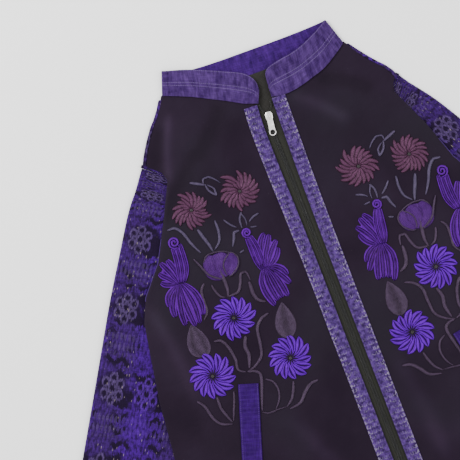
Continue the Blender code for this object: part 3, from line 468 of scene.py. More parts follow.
# The fronts are black cotton twill, cut to the neck, shoulder and armhole, and folded under at the sides.
# They lie over the back, and from the armhole down their edge rolls on to the tucked sleeve.
Line = namedtuple("Line", "centre_out centre_y side_out side_y roll on_sleeve wrap rows")
SIDE, ARMHOLE, NOTCH, SHOULDER = (3.2, 0, 0), (5, 1, 0), (0.8, 0, 0), (0.8, 0, 1)
FRONT_RIGHT = (
    Line(-5, -366.5, 317, -366.5, *SIDE, 4),
    Line(-2.6, -260, 310, -260, *SIDE, 3),
    Line(-1.3, -177, 303, -177, *SIDE, 3),
    Line(0.5, -95, 296, -95, *SIDE, 2),
    Line(1.2, -42, 287.5, -42, *SIDE, 2),
    Line(2.4, 20, 277.5, 20, *SIDE, 2),
    Line(3.4, 56, 262, 56, *SIDE, 2),
    Line(4.6, 98, 227.5, 98, *ARMHOLE, 2),
    Line(6.8, 157, 197, 157, *ARMHOLE, 4),
    Line(8.2, 208, 171.5, 210, *ARMHOLE, 2),
    Line(8.4, 222, 176, 224, *NOTCH, 1),
    Line(8.6, 238, 194.5, 240, *SHOULDER, 1),
    Line(8, 254, 187, 256, *SHOULDER, 1),
    Line(7, 270.2, 175.5, 275, *SHOULDER, 1),
    Line(28, 278.4, 168.5, 285, *SHOULDER, 1),
    Line(49, 290.5, 162, 294, *SHOULDER, 1),
    Line(71, 302, 154.5, 302, *SHOULDER, 1),
    Line(103, 317.6, 144, 316, *SHOULDER, 1),
    Line(126, 327.4, 137.6, 327, *SHOULDER, 0),
)
FRONT_LEFT = (
    Line(24.5, -366.5, 317, -366.5, *SIDE, 4),
    Line(22.6, -260, 310, -260, *SIDE, 3),
    Line(20.9, -177, 303.5, -177, *SIDE, 3),
    Line(19.4, -95, 297.5, -95, *SIDE, 2),
    Line(18.4, -42, 290, -42, *SIDE, 2),
    Line(17.4, 20, 281, 20, *SIDE, 2),
    Line(16.8, 56, 267, 56, *SIDE, 2),
    Line(16.4, 98, 243, 98, *ARMHOLE, 2),
    Line(16.2, 157, 222, 157, *ARMHOLE, 4),
    Line(16.4, 214, 193, 219, *ARMHOLE, 2),
    Line(16.5, 228, 195.5, 230, *NOTCH, 1),
    Line(16.6, 238, 201, 239, *SHOULDER, 1),
    Line(16.7, 254, 195.5, 251, *SHOULDER, 1),
    Line(17, 272.4, 187.5, 262, *SHOULDER, 1),
    Line(45, 270, 179, 270.5, *SHOULDER, 1),
    Line(63, 273, 172, 278.5, *SHOULDER, 1),
    Line(81, 278.2, 165, 287, *SHOULDER, 1),
    Line(108, 287.6, 155.5, 299, *SHOULDER, 1),
    Line(136, 304.6, 147, 310.6, *SHOULDER, 0),
)
FRONT_OF = {-1: FRONT_RIGHT, 1: FRONT_LEFT}
NECK_LINE = 13
NECK_SHARE = sum(line.rows for line in FRONT_RIGHT[:NECK_LINE]) / sum(line.rows for line in FRONT_RIGHT)
FRONT_WALL = 1.6
BAND_WIDTH = 21.0
BAND_COLUMNS = 0.12
COLLAR_LAP = 5.0
THREAD_GAP = 0.15
FRONT_COLUMNS = 66
FRONT_FLAT = 0.9
FRONT_ROWS = 168
FIELD_PITCH = 6.0


class Drape:
    """Smoothed heights of some CAD nodes in millimetres, so that cloth laid over them has soft folds."""

    def __init__(self, nodes, up=False, low=(-336.0, -378.0), high=(336.0, 378.0)):
        trees = []
        for node in nodes:
            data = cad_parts[node].data
            points = [v.co.copy() for v in data.vertices]
            trees.append(BVHTree.FromPolygons(points, [tuple(p.vertices) for p in data.polygons]))
        self.low = low
        self.count = [int((b - a) / FIELD_PITCH) + 1 for a, b in zip(low, high)]
        heights = np.full(self.count, np.nan)
        start, way = (-0.05, 1.0) if up else (0.1, -1.0)
        for i in range(self.count[0]):
            for j in range(self.count[1]):
                x, y = low[0] + i * FIELD_PITCH, low[1] + j * FIELD_PITCH
                for tree in trees:
                    hit, normal = tree.ray_cast(Vector((x * MM, y * MM, start)), Vector((0.0, 0.0, way)))[:2]
                    if hit and abs(normal.z) > 0.72:
                        heights[i, j] = hit.z / MM
        while np.isnan(heights).any():
            padded = np.pad(heights, 1, constant_values=np.nan)
            around = np.stack([padded[1 + a:1 + a + self.count[0], 1 + b:1 + b + self.count[1]]
                               for a in (-1, 0, 1) for b in (-1, 0, 1)])
            known = ~np.isnan(around)
            total = np.where(known, around, 0.0).sum(0)
            spread = np.where(known.sum(0) > 0, total / np.maximum(known.sum(0), 1), np.nan)
            heights = np.where(np.isnan(heights), spread, heights)
        for _ in range(2):
            padded = np.pad(heights, 1, mode="edge")
            shifted = [padded[a:a + self.count[0], b:b + self.count[1]] for a in range(3) for b in range(3)]
            heights = sum(shifted) / len(shifted)
        self.heights = heights

    def at(self, x, y):
        """Height at a point."""
        u = min(max((x - self.low[0]) / FIELD_PITCH, 0.0), self.count[0] - 1.001)
        v = min(max((y - self.low[1]) / FIELD_PITCH, 0.0), self.count[1] - 1.001)
        i, j = int(u), int(v)
        s, t = u - i, v - j
        h = self.heights
        near = h[i, j] * (1 - s) + h[i + 1, j] * s
        far = h[i, j + 1] * (1 - s) + h[i + 1, j + 1] * s
        return near * (1 - t) + far * t


front_drape = Drape(["front_right", "front_left"])


Crease = namedtuple("Crease", "start end width rise")
CREASES = (
    Crease((-168.0, 206.0), (-138.0, 300.0), 7.0, 2.4),
    Crease((-60.0, 292.0), (-118.0, 222.0), 13.0, -1.1),
    Crease((-196.0, 150.0), (-120.0, 236.0), 11.0, -1.0),
    Crease((46.0, 266.0), (116.0, 204.0), 10.0, 2.2),
    Crease((92.0, 276.0), (168.0, 236.0), 12.0, -1.2),
    Crease((-262.0, 40.0), (-238.0, -120.0), 10.0, 1.6),
    Crease((-120.0, -190.0), (-60.0, -330.0), 13.0, 1.6),
    Crease((-210.0, -250.0), (-230.0, -350.0), 10.0, 1.4),
    Crease((60.0, -160.0), (84.0, -330.0), 12.0, 1.6),
    Crease((212.0, -190.0), (196.0, -350.0), 13.0, -1.0),
    Crease((-186.0, 206.0), (-158.0, 290.0), 12.0, -1.0),
)


def creased(x, y):
    """How far the creases raise or lower the cloth at a point."""
    folds = 0.0
    for (ax, ay), (bx, by), width, rise in CREASES:
        length = math.hypot(bx - ax, by - ay)
        along = ((x - ax) * (bx - ax) + (y - ay) * (by - ay)) / length ** 2
        if -0.1 < along < 1.1:
            aside = ((x - ax) * (by - ay) - (y - ay) * (bx - ax)) / length
            aside += 3.0 * math.sin(4.0 * along)
            folds += rise * math.exp(-(aside / width) ** 2) * ease(4.0 * min(along + 0.1, 1.1 - along))
    return folds


def front_height(x, y):
    """Height of the outer face of the fronts, with the soft creases and small crumples of worn cotton."""
    spot = Vector((x / 70.0, y / 95.0, 1.7))
    ripple = 0.6 * noise.noise(spot) + 0.3 * noise.noise(spot * 2.7)
    crumple = 0.18 * noise.noise(Vector((x / 9.0, y / 14.0, 4.4)))
    return front_drape.at(x, y) + ripple + crumple + creased(x, y)


def place_on_line(side, v):
    """The line of a front at a share of its way from the hem to the shoulder, counted in rows."""
    table = FRONT_OF[side]
    rows = [line.rows for line in table]
    left = v * sum(rows)
    for i, count in enumerate(rows):
        if left <= count or i == len(table) - 2:
            return min(i + left / max(count, 1), len(table) - 1.0)
        left -= count


def front_line(side, v):
    """The values of that line: straight between its ends, as the CAD cuts it."""
    place = place_on_line(side, v)
    i = min(int(place), len(FRONT_OF[side]) - 2)
    t = place - i
    return [a + (b - a) * t for a, b in zip(FRONT_OF[side][i], FRONT_OF[side][i + 1])]


def front_place(side):
    """Where each point of a front lies: across from the opening and up from the hem."""
    def place(u, v):
        cx, cy, ex, ey, roll, on_sleeve = front_line(side, v)[:6]
        cy += COLLAR_LAP * ease(place_on_line(side, v) - NECK_LINE)
        ey += COLLAR_LAP * ease((place_on_line(side, v) - 16.0) / 2.0)
        length = math.hypot(ex - cx, ey - cy)
        ax, ay = (ex - cx) / length, (ey - cy) / length
        roll = min(roll, length * 0.3)
        flat = length - roll
        share = min(u / FRONT_FLAT, 1.0)
        if length > 80.0:
            d = BAND_WIDTH * share / BAND_COLUMNS
            if share > BAND_COLUMNS:
                d = BAND_WIDTH + (flat - BAND_WIDTH) * (share - BAND_COLUMNS) / (1.0 - BAND_COLUMNS)
        else:
            d = flat * share
        drop = 0.0
        if u > FRONT_FLAT:
            turn = (u - FRONT_FLAT) / (1.0 - FRONT_FLAT) * math.pi / 2
            d = flat + roll * math.sin(turn)
            drop = roll * (1.0 - math.cos(turn))
        x, y = side * (cx + ax * d), cy + ay * d
        top = front_height(x, y)
        if on_sleeve > 0.0 and u > FRONT_FLAT:
            drop *= (1.0 - on_sleeve) + on_sleeve * max(top - 4.95, 1.0) / roll
        # The form chart holds the crease height, which the black twill uses for painted shade in the creases
        # and painted light on the raised folds.
        return (x, y, top - drop), (x * MM, y * MM), (0.5 + 0.2 * creased(x, y), d / length)
    return place


black_finish, shader = new_finish("black_twill")
spot = solid_spot(shader)
# Painted shade and painted light: the colour is darker in the creases and lighter on the raised folds, after
# the crease height in the form chart.
ridges = chart(shader, "form").axes()[0].spread(0.3, 0.95, 0.72, 1.85)
worn = mix(spot.cloud(9.0, 4.0).spread(0.35, 0.7), (0.0052, 0.0026, 0.0068), (0.0104, 0.0062, 0.0132))
aged = mix(spot.cloud(5.0, 2.0).spread(0.45, 0.65, top=0.6), worn, (0.0074, 0.007, 0.0098))
lint = specks(spot, 330.0, 0.16, 0.985)
paint(shader, mix(lint * 0.35, shaded(ridges, aged), (0.05, 0.042, 0.055)))
soft_surface(shader, 0.85, (0.95, 0.72, 1.0), sheen=0.04, level=0.15)
height, _ = weave(spot.turned(38.0), 1100.0, 0.5)
bump(shader, spot.cloud(22.0, 3.0, distortion=0.6) * 14.0 + height, 0.6, 0.0004)

for side, hand in HANDS:
    mesh = cloth_sheet(f"front_{hand}", FRONT_COLUMNS, FRONT_ROWS, front_place(side))
    nodes = [f"front_{hand}"]
    front = as_piece(f"front_{hand}_cloth", mesh, black_finish, nodes, wall=FRONT_WALL)


# The back is the sleeves' own cloth, in one piece from side to side, and rests flat on the board.
# At each shoulder it wraps over the edge to the front, where a narrow strip of it meets the front's seam.
BACK_WALL = 1.5
BACK_COLUMNS = 96
BACK_ROWS = 130
BACK_RIM = 0.13
SHOULDER_RADIUS = 2.3
SHOULDER_STRIP = 3.2
NECK_RIGHT = (-141.7, 327.0)
NECK_LEFT = (151.1, 310.6)
NECK_LOW_Y = 303.5
NECK_BEGIN_Y = (275.0, 262.0)
back_drape = Drape(["back"], up=True)


def neck_edge_y(x):
    """Height up the garment of the seam between the back and the collar."""
    share = min(max((x - NECK_RIGHT[0]) / (NECK_LEFT[0] - NECK_RIGHT[0]), 0.0), 1.0)
    level = NECK_RIGHT[1] + (NECK_LEFT[1] - NECK_RIGHT[1]) * share + 2.0
    return level - (level - NECK_LOW_Y) * math.sin(math.pi * share) ** 0.7


def back_rim_place(side, v, share):
    """A point of the back's rim: share 0 is flat under the front and share 1 is its free edge."""
    place = place_on_line(side, v)
    line = front_line(side, v)
    ex, ey, wrap = line[2], line[3], line[6]
    inset = 6.0 * line[5] - (2.0 if 9.6 < place < 10.9 else 0.0) * (1.0 - wrap)
    flat_x = ex - inset - 9.0 + 9.0 * share
    bend = min(share / 0.8, 1.0) * math.pi
    wrapped_x = ex + 6.4 - SHOULDER_RADIUS + SHOULDER_RADIUS * math.sin(bend)
    wrapped_x -= max(0.0, share - 0.8) / 0.2 * SHOULDER_STRIP
    flat_z = back_drape.at(side * flat_x, ey)
    wrapped_z = SHOULDER_RADIUS * (1.0 - math.cos(bend))
    return flat_x + (wrapped_x - flat_x) * wrap, ey, flat_z + (wrapped_z - flat_z) * wrap


def back_place(u, v):
    """Where each point of the back lies, from the wearer's right to the left and from the hem up."""
    if u < BACK_RIM:
        x, y, z = back_rim_place(-1, v, 1.0 - u / BACK_RIM)
        x = -x
    elif u > 1.0 - BACK_RIM:
        x, y, z = back_rim_place(1, v, 1.0 - (1.0 - u) / BACK_RIM)
    else:
        t = (u - BACK_RIM) / (1.0 - 2 * BACK_RIM)
        rx, ry, _ = back_rim_place(-1, v, 0.0)
        lx, ly, _ = back_rim_place(1, v, 0.0)
        x, y = -rx + (lx + rx) * t, ry + (ly - ry) * t
        if v > NECK_SHARE:
            first = NECK_BEGIN_Y[0] + (NECK_BEGIN_Y[1] - NECK_BEGIN_Y[0]) * t
            last = NECK_RIGHT[1] + (NECK_LEFT[1] - NECK_RIGHT[1]) * t
            y = first + (y - first) * (neck_edge_y(x) - 0.9 - first) / (last - first)
        z = back_drape.at(x, y)
    return (x, y, z), (x * MM, (y + 30.0) * MM)


# The back's violet is greyer than the sleeves': a painted sheen for the grazing light on the strip that
# wraps each shoulder.
back_finish = ikat_finish("ikat_cloth_back", (0.03, 0.01, 0.076))
mesh = cloth_sheet("back", BACK_COLUMNS, BACK_ROWS, back_place)
bmesh.ops.reverse_faces(mesh, faces=mesh.faces)
back = as_piece("back_cloth", mesh, back_finish, ["back"], wall=BACK_WALL)


# The facing is grey-olive twill sewn inside the back neck. It shows between the collar's two front ends.
FACING_SIZE = (132.0, 120.0)
FACING_FOOT = (8.0, 196.0)
FACING_GRID = (30, 28)
FACING_WALL = 0.9
facing_drape = Drape(["back_facing"], low=(-90.0, 180.0), high=(100.0, 340.0))


def facing_place(u, v):
    """Where each point of the facing lies."""
    half = FACING_SIZE[0] / 2 * (1.0 - 0.35 * (1.0 - v) ** 2)
    side = 2.0 * u - 1.0
    x, y = FACING_FOOT[0] + half * side, FACING_FOOT[1] + FACING_SIZE[1] * v + 5.0 * v * side * side
    ripple = 0.35 * noise.noise(Vector((x / 26.0, y / 30.0, 9.0)))
    return (x, y, facing_drape.at(x, y) + ripple), (x * MM, y * MM)


facing_finish, shader = new_finish("facing_twill")
height, slubs = weave(chart(shader).turned(-35.0), 700.0, 0.9)
paint(shader, mix(slubs.spread(0.3, 0.7), (0.0085, 0.008, 0.0075), (0.0185, 0.0175, 0.0165)))
soft_surface(shader, 0.85, (1.0, 0.98, 0.92))
bump(shader, height, 0.6, 0.0005)
mesh = cloth_sheet("facing", *FACING_GRID, facing_place)
nodes = ["back_facing"]
facing = as_piece("back_facing_cloth", mesh, facing_finish, nodes, wall=FACING_WALL)


# The collar is a stiffened band of the patterned cloth, folded flat, with its front halves over the neck.
# Two rows of stitching run along it, and its front ends are rounded.
Stand = namedtuple("Stand", "base_x base_y base_z top_x top_y top_z")
CORNER_STEPS = 6
CORNER_RADIUS = 3.3


def collar_corner(side, base_out, base_y, top_out, top_y, rise):
    """The bend of the collar at one side of the neck, as a run of stations round a half circle."""
    found = []
    low, high = CORNER_RADIUS, rise / 2
    for k in range(1, CORNER_STEPS):
        turn = math.pi * k / CORNER_STEPS
        out, up = math.sin(turn) - 1.0, math.cos(turn) + 1.0
        found.append(Stand(side * (base_out + low * out), base_y, low * up,
                           side * (top_out + high * out), top_y, high * up))
    return found


COLLAR = (
    [Stand(-4.5, 271.5, None, 3.2, 289, 9), Stand(-7.5, 272.5, None, 3.8, 300, 10),
     Stand(-14, 274.8, None, -0.5, 311, 10.6), Stand(-27, 279.6, None, -12, 322.5, 10.6),
     Stand(-48, 291.4, None, -35, 333.5, 10), Stand(-71, 303, None, -62, 345.5, 9.4),
     Stand(-98, 316.4, None, -90, 356.5, 8.6), Stand(-130, 329.4, None, -119, 365, 8)]
    + collar_corner(-1, 136.5, 331, 124.5, 366.5, 8)
    + [Stand(-124.5, 327.8, 0, -114, 362, 0.2), Stand(-90, 312.5, 0, -83, 354, 1.6),
       Stand(-38.4, 304.5, 0, -34, 351.6, 2.8), Stand(13.3, 303.5, 0, 15, 351.5, 2.9),
       Stand(65, 304.2, 0, 62, 351.6, 2.2), Stand(99.4, 306.4, 0, 95, 352.4, 1.4),
       Stand(133.9, 311, 0, 122, 354, 0.2)]
    + collar_corner(1, 147, 313.6, 133, 355, 8)[::-1]
    + [Stand(140, 308.8, None, 127.5, 352.5, 8), Stand(109, 289.2, None, 110, 342.5, 9),
       Stand(82, 279.6, None, 86, 331.5, 9.8), Stand(64, 274.4, None, 68, 326, 10.4),
       Stand(45, 271.2, None, 47.5, 322.4, 10.8), Stand(32, 271.6, None, 28, 317.5, 10.6),
       Stand(23, 273, None, 20.5, 310, 10), Stand(17.4, 274.2, None, 18.6, 297, 9)]
)
COLLAR_WALL = 1.8
COLLAR = [stand._replace(base_z=front_height(stand.base_x, stand.base_y) + COLLAR_WALL + THREAD_GAP)
          if stand.base_z is None else stand for stand in COLLAR]
COLLAR_RUN = [0.0]
for first, second in zip(COLLAR, COLLAR[1:]):
    step = math.dist(first[:3], second[:3]) + math.dist(first[3:], second[3:])
    COLLAR_RUN.append(COLLAR_RUN[-1] + step / 2)
COLLAR_STITCHES = (0.42, 0.53)
COLLAR_TOP_STITCH = 0.975
COLLAR_MIDDLE = (COLLAR_RUN[10] + COLLAR_RUN[-11]) / 2
COLLAR_BACK_HALF = (COLLAR_RUN[-11] - COLLAR_RUN[10]) / 2
COLLAR_COLUMNS = 190
COLLAR_ROWS = 22
COLLAR_HIGH = 46.0


def collar_place(u, v):
    """Where each point of the collar's outer face lies: along the band and up from its seam."""
    place = float(np.interp(u * COLLAR_RUN[-1], COLLAR_RUN, range(len(COLLAR_RUN))))
    bx, by, bz, tx, ty, tz = along_table(COLLAR, place)
    x, y, z = bx + (tx - bx) * v, by + (ty - by) * v, bz + (tz - bz) * v
    run = u * COLLAR_RUN[-1]
    pucker = 0.0
    for line in COLLAR_STITCHES:
        pucker -= 0.35 * math.exp(-((v - line) * COLLAR_HIGH / 1.4) ** 2)
    wave = 0.5 * noise.noise(Vector((run / 30.0, v * 1.6, 2.0)))
    wave += 0.16 * noise.noise(Vector((run / 7.0, v * 4.0, 5.0)))
    on_fronts = bz > 2.4 or tz > 4.0
    z = max(z + (pucker + wave) * (1.0 if on_fronts else 0.3), 0.0)
    return (x, y, z), (run * MM, v * COLLAR_HIGH * MM)


collar_finish, shader = new_finish("collar_cloth")
spot = chart(shader)
height, slubs = weave(spot, 900.0, 0.8)
x, y, _ = spot.axes()
behind = abs(x - COLLAR_MIDDLE * MM).spread(COLLAR_BACK_HALF * MM, (COLLAR_BACK_HALF - 12.0) * MM)
cloudy = spot.scaled(110.0, 45.0, 1.0).cloud(1.0, 5.0, 0.65).spread(0.34, 0.66)
outer = mix(cloudy, (0.011, 0.0025, 0.034), (0.05, 0.0225, 0.106))
inner = mix(cloudy, (0.012, 0.0015, 0.046), (0.036, 0.007, 0.108))
rows = [abs(y - share * COLLAR_HIGH * MM) < 0.0006 for share in (*COLLAR_STITCHES, COLLAR_TOP_STITCH)]
stitches = rows[0].math("MAXIMUM", rows[1]).math("MAXIMUM", rows[2]) * ((x * 330.0).math("FRACT") > 0.22)
colour = mix(stitches * (1.0 - behind) * 0.5, mix(behind, outer, inner), (0.1, 0.07, 0.16))
paint(shader, shaded(slubs.spread(0.3, 0.7, 0.55, 1.5), colour))
soft_surface(shader, 0.88, (0.75, 0.5, 1.0), sheen=0.08)
bump(shader, height, 0.7, 0.0006)
mesh = cloth_sheet("collar", COLLAR_COLUMNS, COLLAR_ROWS, collar_place)
on_top = [face for face in mesh.faces if face.calc_center_median().z > 7.0 * MM]
if sum(face.normal.z for face in on_top) < 0.0:
    bmesh.ops.reverse_faces(mesh, faces=mesh.faces)
collar = as_piece("collar_cloth", mesh, collar_finish, ["collar"], wall=COLLAR_WALL)


# A band of woven ribbon runs down each side of the opening, mottled violet with rows of small pale loops.
# Pale stitches hold its outer edge, and its upper end goes under the collar.
BAND_GRID = (10, 220)
BAND_CLOTH = 1.25
BAND_RISE = 1.45
LOOP_ACROSS = 0.0066
LOOP_ALONG = 0.0084
EDGE_STITCH_AT = 0.0197
EDGE_STITCH_PITCH = 0.0072


def band_place(side):
    """Where each point of a band lies: out from the opening edge and up from the hem."""
    def place(u, v):
        cx, cy, ex, ey = front_line(side, v * NECK_SHARE)[:4]
        length = math.hypot(ex - cx, ey - cy)
        d = BAND_WIDTH * u
        x, y = side * (cx + (ex - cx) / length * d), cy + (ey - cy) / length * d
        swell = 0.2 * noise.noise(Vector((d / 6.0, y / 11.0, 3.3 * side)))
        return (x, y, front_height(x, y) + BAND_RISE + swell), (d * MM, y * MM)
    return place


band_finish, shader = new_finish("band_ribbon")
spot = chart(shader)
height, slubs = weave(spot, 1000.0, 0.7)
x, y, _ = spot.axes()
mottled = spot.cloud(140.0, 4.0, 0.6).spread(0.38, 0.62)
ground = mix(mottled, (0.011, 0.003, 0.034), (0.06, 0.026, 0.14))
stray = spot.cloud(210.0, 2.0) - 0.5
across = x + stray * 0.0045
along = y - stray * 0.007
cell_x = (across / LOOP_ACROSS).math("FRACT") - 0.5
cell_y = (along / LOOP_ALONG).math("FRACT") - 0.5
square = abs(cell_x).math("MAXIMUM", abs(cell_y))
faded = spot.cloud(90.0, 2.0).spread(0.36, 0.6)
loops = abs(square - 0.3).spread(0.1, 0.05) * (cell_y < 0.16) * across.spread(0.004, 0.015, 0.3) * faded
gaps = (along / EDGE_STITCH_PITCH).math("FRACT") > 0.4
edge = (abs(x - EDGE_STITCH_AT) < 0.00075) * gaps * (faded * 0.35 + 0.45)
pale = (loops * 0.75).math("MAXIMUM", edge, clamp=True)
paint(shader, shaded(slubs.spread(0.3, 0.7, 0.6, 1.4), mix(pale, ground, (0.185, 0.155, 0.225))))
soft_surface(shader, 0.8, (0.8, 0.6, 1.0), sheen=0.08)
bump(shader, height + pale * 0.8, 0.7, 0.0006)

for side, hand in HANDS:
    mesh = cloth_sheet(f"band_{hand}", *BAND_GRID, band_place(side))
    nodes = [f"band_{hand}"]
    band = as_piece(f"band_{hand}_ribbon", mesh, band_finish, nodes, wall=BAND_CLOTH)


# The zip's two tapes are grey-olive and ribbed, and part above the slider into the collar.
# Each has one raised rib along the coil and another near the front's edge.
ZIP_LINE = ((-366.5, 14.8), (-299.0, 14.0), (-177.0, 11.2), (-78.0, 9.8), (67.0, 6.4), (157.0, 4.6),
            (223.5, 2.2), (240.0, 3.4), (262.0, 5.0))
TAPE_GRID = (26, 200)
TAPE_HIDDEN = 9.5
TAPE_RIBS = ((3.6, 0.55, 0.28), (6.4, 0.5, 0.22))
TAPE_CLOTH = 0.7
TAPE_DROP = 2.35
RIB_PITCH = 0.0011


def zip_x(y):
    """Centreline of the zip at a height up the garment."""
    heights, places = zip(*ZIP_LINE)
    return float(np.interp(y, heights, places))


def tape_edges(side, y_share):
    """A line across a tape: the front's opening edge, the tape's inner edge and its height."""
    cx, cy = front_line(side, y_share * NECK_SHARE)[:2]
    opened = ease((cy - 250.0) / 16.0)
    inner = (zip_x(cy) + side * 0.35) * (1.0 - opened) + (side * cx - side * 4.0) * opened
    return side * cx, inner, cy, front_drape.at(side * cx, cy) - TAPE_DROP


def tape_place(side):
    """Where each point of a tape lies, from its inner edge to the end hidden under the front."""
    def place(u, v):
        edge_x, inner, y, z = tape_edges(side, v)
        outer = edge_x + side * TAPE_HIDDEN
        x = inner + (outer - inner) * u
        d = abs(x - inner)
        rib = sum(rise * math.exp(-((d - at) / width) ** 2) for at, width, rise in TAPE_RIBS)
        return (x, y, z + rib), (d * MM, y * MM)
    return place


tape_finish, shader = new_finish("zip_tape_ribbed")
spot = chart(shader)
ribs = (spot.axes()[1] * (2 * math.pi / RIB_PITCH)).math("SINE")
# Painted light and shade: the ribs are coloured lighter on their crests and darker in the grooves between
# them.
paint(shader, mix(ribs.spread(-1.0, 1.0), (0.0065, 0.0066, 0.0056), (0.0175, 0.0178, 0.0155)))
soft_surface(shader, 0.7, (1.0, 1.0, 0.9))
height, _ = weave(spot, 1500.0, 0.3)
bump(shader, height + ribs * 0.4, 0.6, 0.0004)

for side, hand in HANDS:
    mesh = cloth_sheet(f"tape_{hand}", *TAPE_GRID, tape_place(side))
    nodes = [f"zip_tape_{hand}"]
    tape = as_piece(f"zip_tape_{hand}_cloth", mesh, tape_finish, nodes, wall=TAPE_CLOTH)


# The zip's coil is a bent plastic thread on each tape. The two mesh in the middle, as loops side by side.
# They stop short of the slider and of the metal box at the hem, and follow the tapes where they part.
COIL_PITCH = 1.5
COIL_THREAD = 0.36
COIL_STEPS = 8
COIL_STRETCHES = (("closed", -343.5, 242.0, ["zip_chain"]), ("open", 256.5, 268.5, ()))


def runs_along(points):
    """The length of a path up to each of its points."""
    runs = [0.0]
    for a, b in zip(points, points[1:]):
        runs.append(runs[-1] + math.dist(a, b))
    return runs


def thread_tube(name, path, radius, sides=6, flat=1.0, closed=False):
    """A round or flattened thread along a path of points in millimetres, with closed ends."""
    points = [Vector(p) for p in path]
    count = len(points)
    runs = runs_along(points)

    def place(u, v):
        i = min(int(round(v * (count - 1))), count - 1)
        ahead = points[(i + 1) % count] if closed or i < count - 1 else points[i]
        behind = points[i - 1] if closed or i > 0 else points[i]
        along = (ahead - behind).normalized()
        across = along.cross(Vector((0.0, 0.0, 1.0)))
        across = across.normalized() if across.length > 0.05 else Vector((1.0, 0.0, 0.0))
        up = across.cross(along).normalized()
        angle = 2 * math.pi * u
        wide = radius[i] if isinstance(radius, (list, tuple)) else radius
        spot = points[i] + across * (wide * math.cos(angle)) + up * (wide * flat * math.sin(angle))
        return spot, (u * 2 * math.pi * wide * MM, runs[i] * MM), (0.8, i / count)

    mesh = cloth_sheet(name, sides, count - 1, place, around=True)
    rims = [edge for edge in mesh.edges if len(edge.link_faces) == 1]
    bmesh.ops.holes_fill(mesh, edges=rims, sides=0)
    bmesh.ops.recalc_face_normals(mesh, faces=mesh.faces)
    return mesh


def coil_path(side, start, end):
    """The thread of one coil from one height to another."""
    path = []
    for k in range(int((end - start) / COIL_PITCH * COIL_STEPS)):
        angle = 2 * math.pi * k / COIL_STEPS
        y = start + COIL_PITCH * k / COIL_STEPS + (0.5 * COIL_PITCH if side > 0 else 0.0)
        _, inner, _, z = tape_edges(side, height_share(side, y))
        reach = 1.5 * math.cos(angle)
        path.append((inner + side * (1.1 - reach), y, z + 1.05 + 0.42 * math.sin(angle)))
    return path


def height_share(side, y):
    """The share of the way from the hem to the neck at which the opening edge has this height."""
    table = FRONT_OF[side][:NECK_LINE + 1]
    counts = np.cumsum([0] + [line.rows for line in table[:-1]])
    return float(np.interp(y, [line.centre_y for line in table], counts / counts[-1]))


coil_finish, shader = new_finish("coil_plastic")
speck = solid_spot(shader).cloud(700.0, 2.0)
paint(shader, mix(speck, (0.004, 0.004, 0.0038), (0.012, 0.012, 0.011)))
feed(shader.inputs["Roughness"], speck.spread(0.0, 1.0, 0.3, 0.5))
for side, hand in HANDS:
    for part, start, end, nodes in COIL_STRETCHES:
        mesh = thread_tube(f"coil_{hand}_{part}", coil_path(side, start, end), COIL_THREAD)
        as_piece(f"zip_coil_{hand}_{part}", mesh, coil_finish, nodes)


# The box, slider and pull tab are bright nickel, cast and tumbled, with soft edges and faint scratches.
# Their shapes are the CAD's own, with rounded edges, and the slider has round shoulders.
TAB_HOLE = (0.98, 223.9)
HOLE_GROWTH = 1.45
SLIDER_CENTRE = (4.05, 249.0)
SLIDER_TURN = math.radians(-7.0)
SLIDER_NARROWING = 0.17

nickel_finish, shader = new_finish("nickel")
spot = solid_spot(shader)
scratches = spot.scaled(2600.0, 260.0, 900.0).cloud(1.0, 3.0)
paint(shader, mix(spot.cloud(260.0, 3.0), (0.86, 0.85, 0.83), (0.97, 0.96, 0.94)))
feed(shader.inputs["Metallic"], 1.0)
feed(shader.inputs["Roughness"], scratches.spread(0.0, 1.0, 0.2, 0.42))
bump(shader, scratches, 0.15, 0.0001)


def round_shoulders(mesh):
    """Narrows the slider towards its collar end and curves that end."""
    centre = Matrix.Translation((SLIDER_CENTRE[0] * MM, SLIDER_CENTRE[1] * MM, 0.0))
    stand = centre @ Matrix.Rotation(SLIDER_TURN, 4, "Z")
    bmesh.ops.transform(mesh, matrix=stand.inverted(), verts=mesh.verts)
    for vert in mesh.verts:
        share = ease(vert.co.y / (5.0 * MM))
        vert.co.x *= 1.0 - SLIDER_NARROWING * share
        vert.co.y -= 1.7 * MM * share * (vert.co.x / (5.2 * MM)) ** 2
    bmesh.ops.transform(mesh, matrix=stand, verts=mesh.verts)


def open_hole(mesh):
    """Widens the hole in the tab's round end."""
    centre = Vector((TAB_HOLE[0] * MM, TAB_HOLE[1] * MM, 0.0))
    ring = [vert for vert in mesh.verts if (vert.co.xy - centre.xy).length < 3.3 * MM]
    bmesh.ops.scale(mesh, vec=(HOLE_GROWTH, HOLE_GROWTH, 1.0), space=Matrix.Translation(-centre), verts=ring)


def rounded_copy(node, name, body, width, reshape=None):
    """A copy of a CAD node's solid with rounded edges, which stands for it."""
    mesh = bmesh.new()
    mesh.from_mesh(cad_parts[node].data)
    bmesh.ops.remove_doubles(mesh, verts=mesh.verts, dist=0.01 * MM)
    bmesh.ops.dissolve_limit(mesh, angle_limit=math.radians(1.0), verts=mesh.verts, edges=mesh.edges)
    if reshape:
        reshape(mesh)
    made = as_piece(name, mesh, nickel_finish, [node], body=body)
    soften(made, width, 3, 38.0).harden_normals = True


rounded_copy("zip_slider", "zip_slider_metal", "jacket", 0.3, round_shoulders)
rounded_copy("zip_pull", "zip_pull_metal", "pull", 0.25, open_hole)
rounded_copy("zip_box", "zip_box_metal", "jacket", 0.5)


# Each front has a slanted pocket welt: a folded strip of deep violet cloth, stitched close to its edges.
# Its weave shows a faint square grid, and two rows of small stitches run down it.
WELT_TOP = (-162.0, -117.0)
WELT_SIZE = (31.0, 150.0)
WELT_SLANT = math.radians(16.9)
WELT_GRID = (28, 110)
WELT_CLOTH = 1.3
WELT_RISE = 2.0
LEFT_PIVOT = (110.0, 40.0)
LEFT_TURN = math.radians(-5.0)
LEFT_SHIFT = (18.0, -28.0)


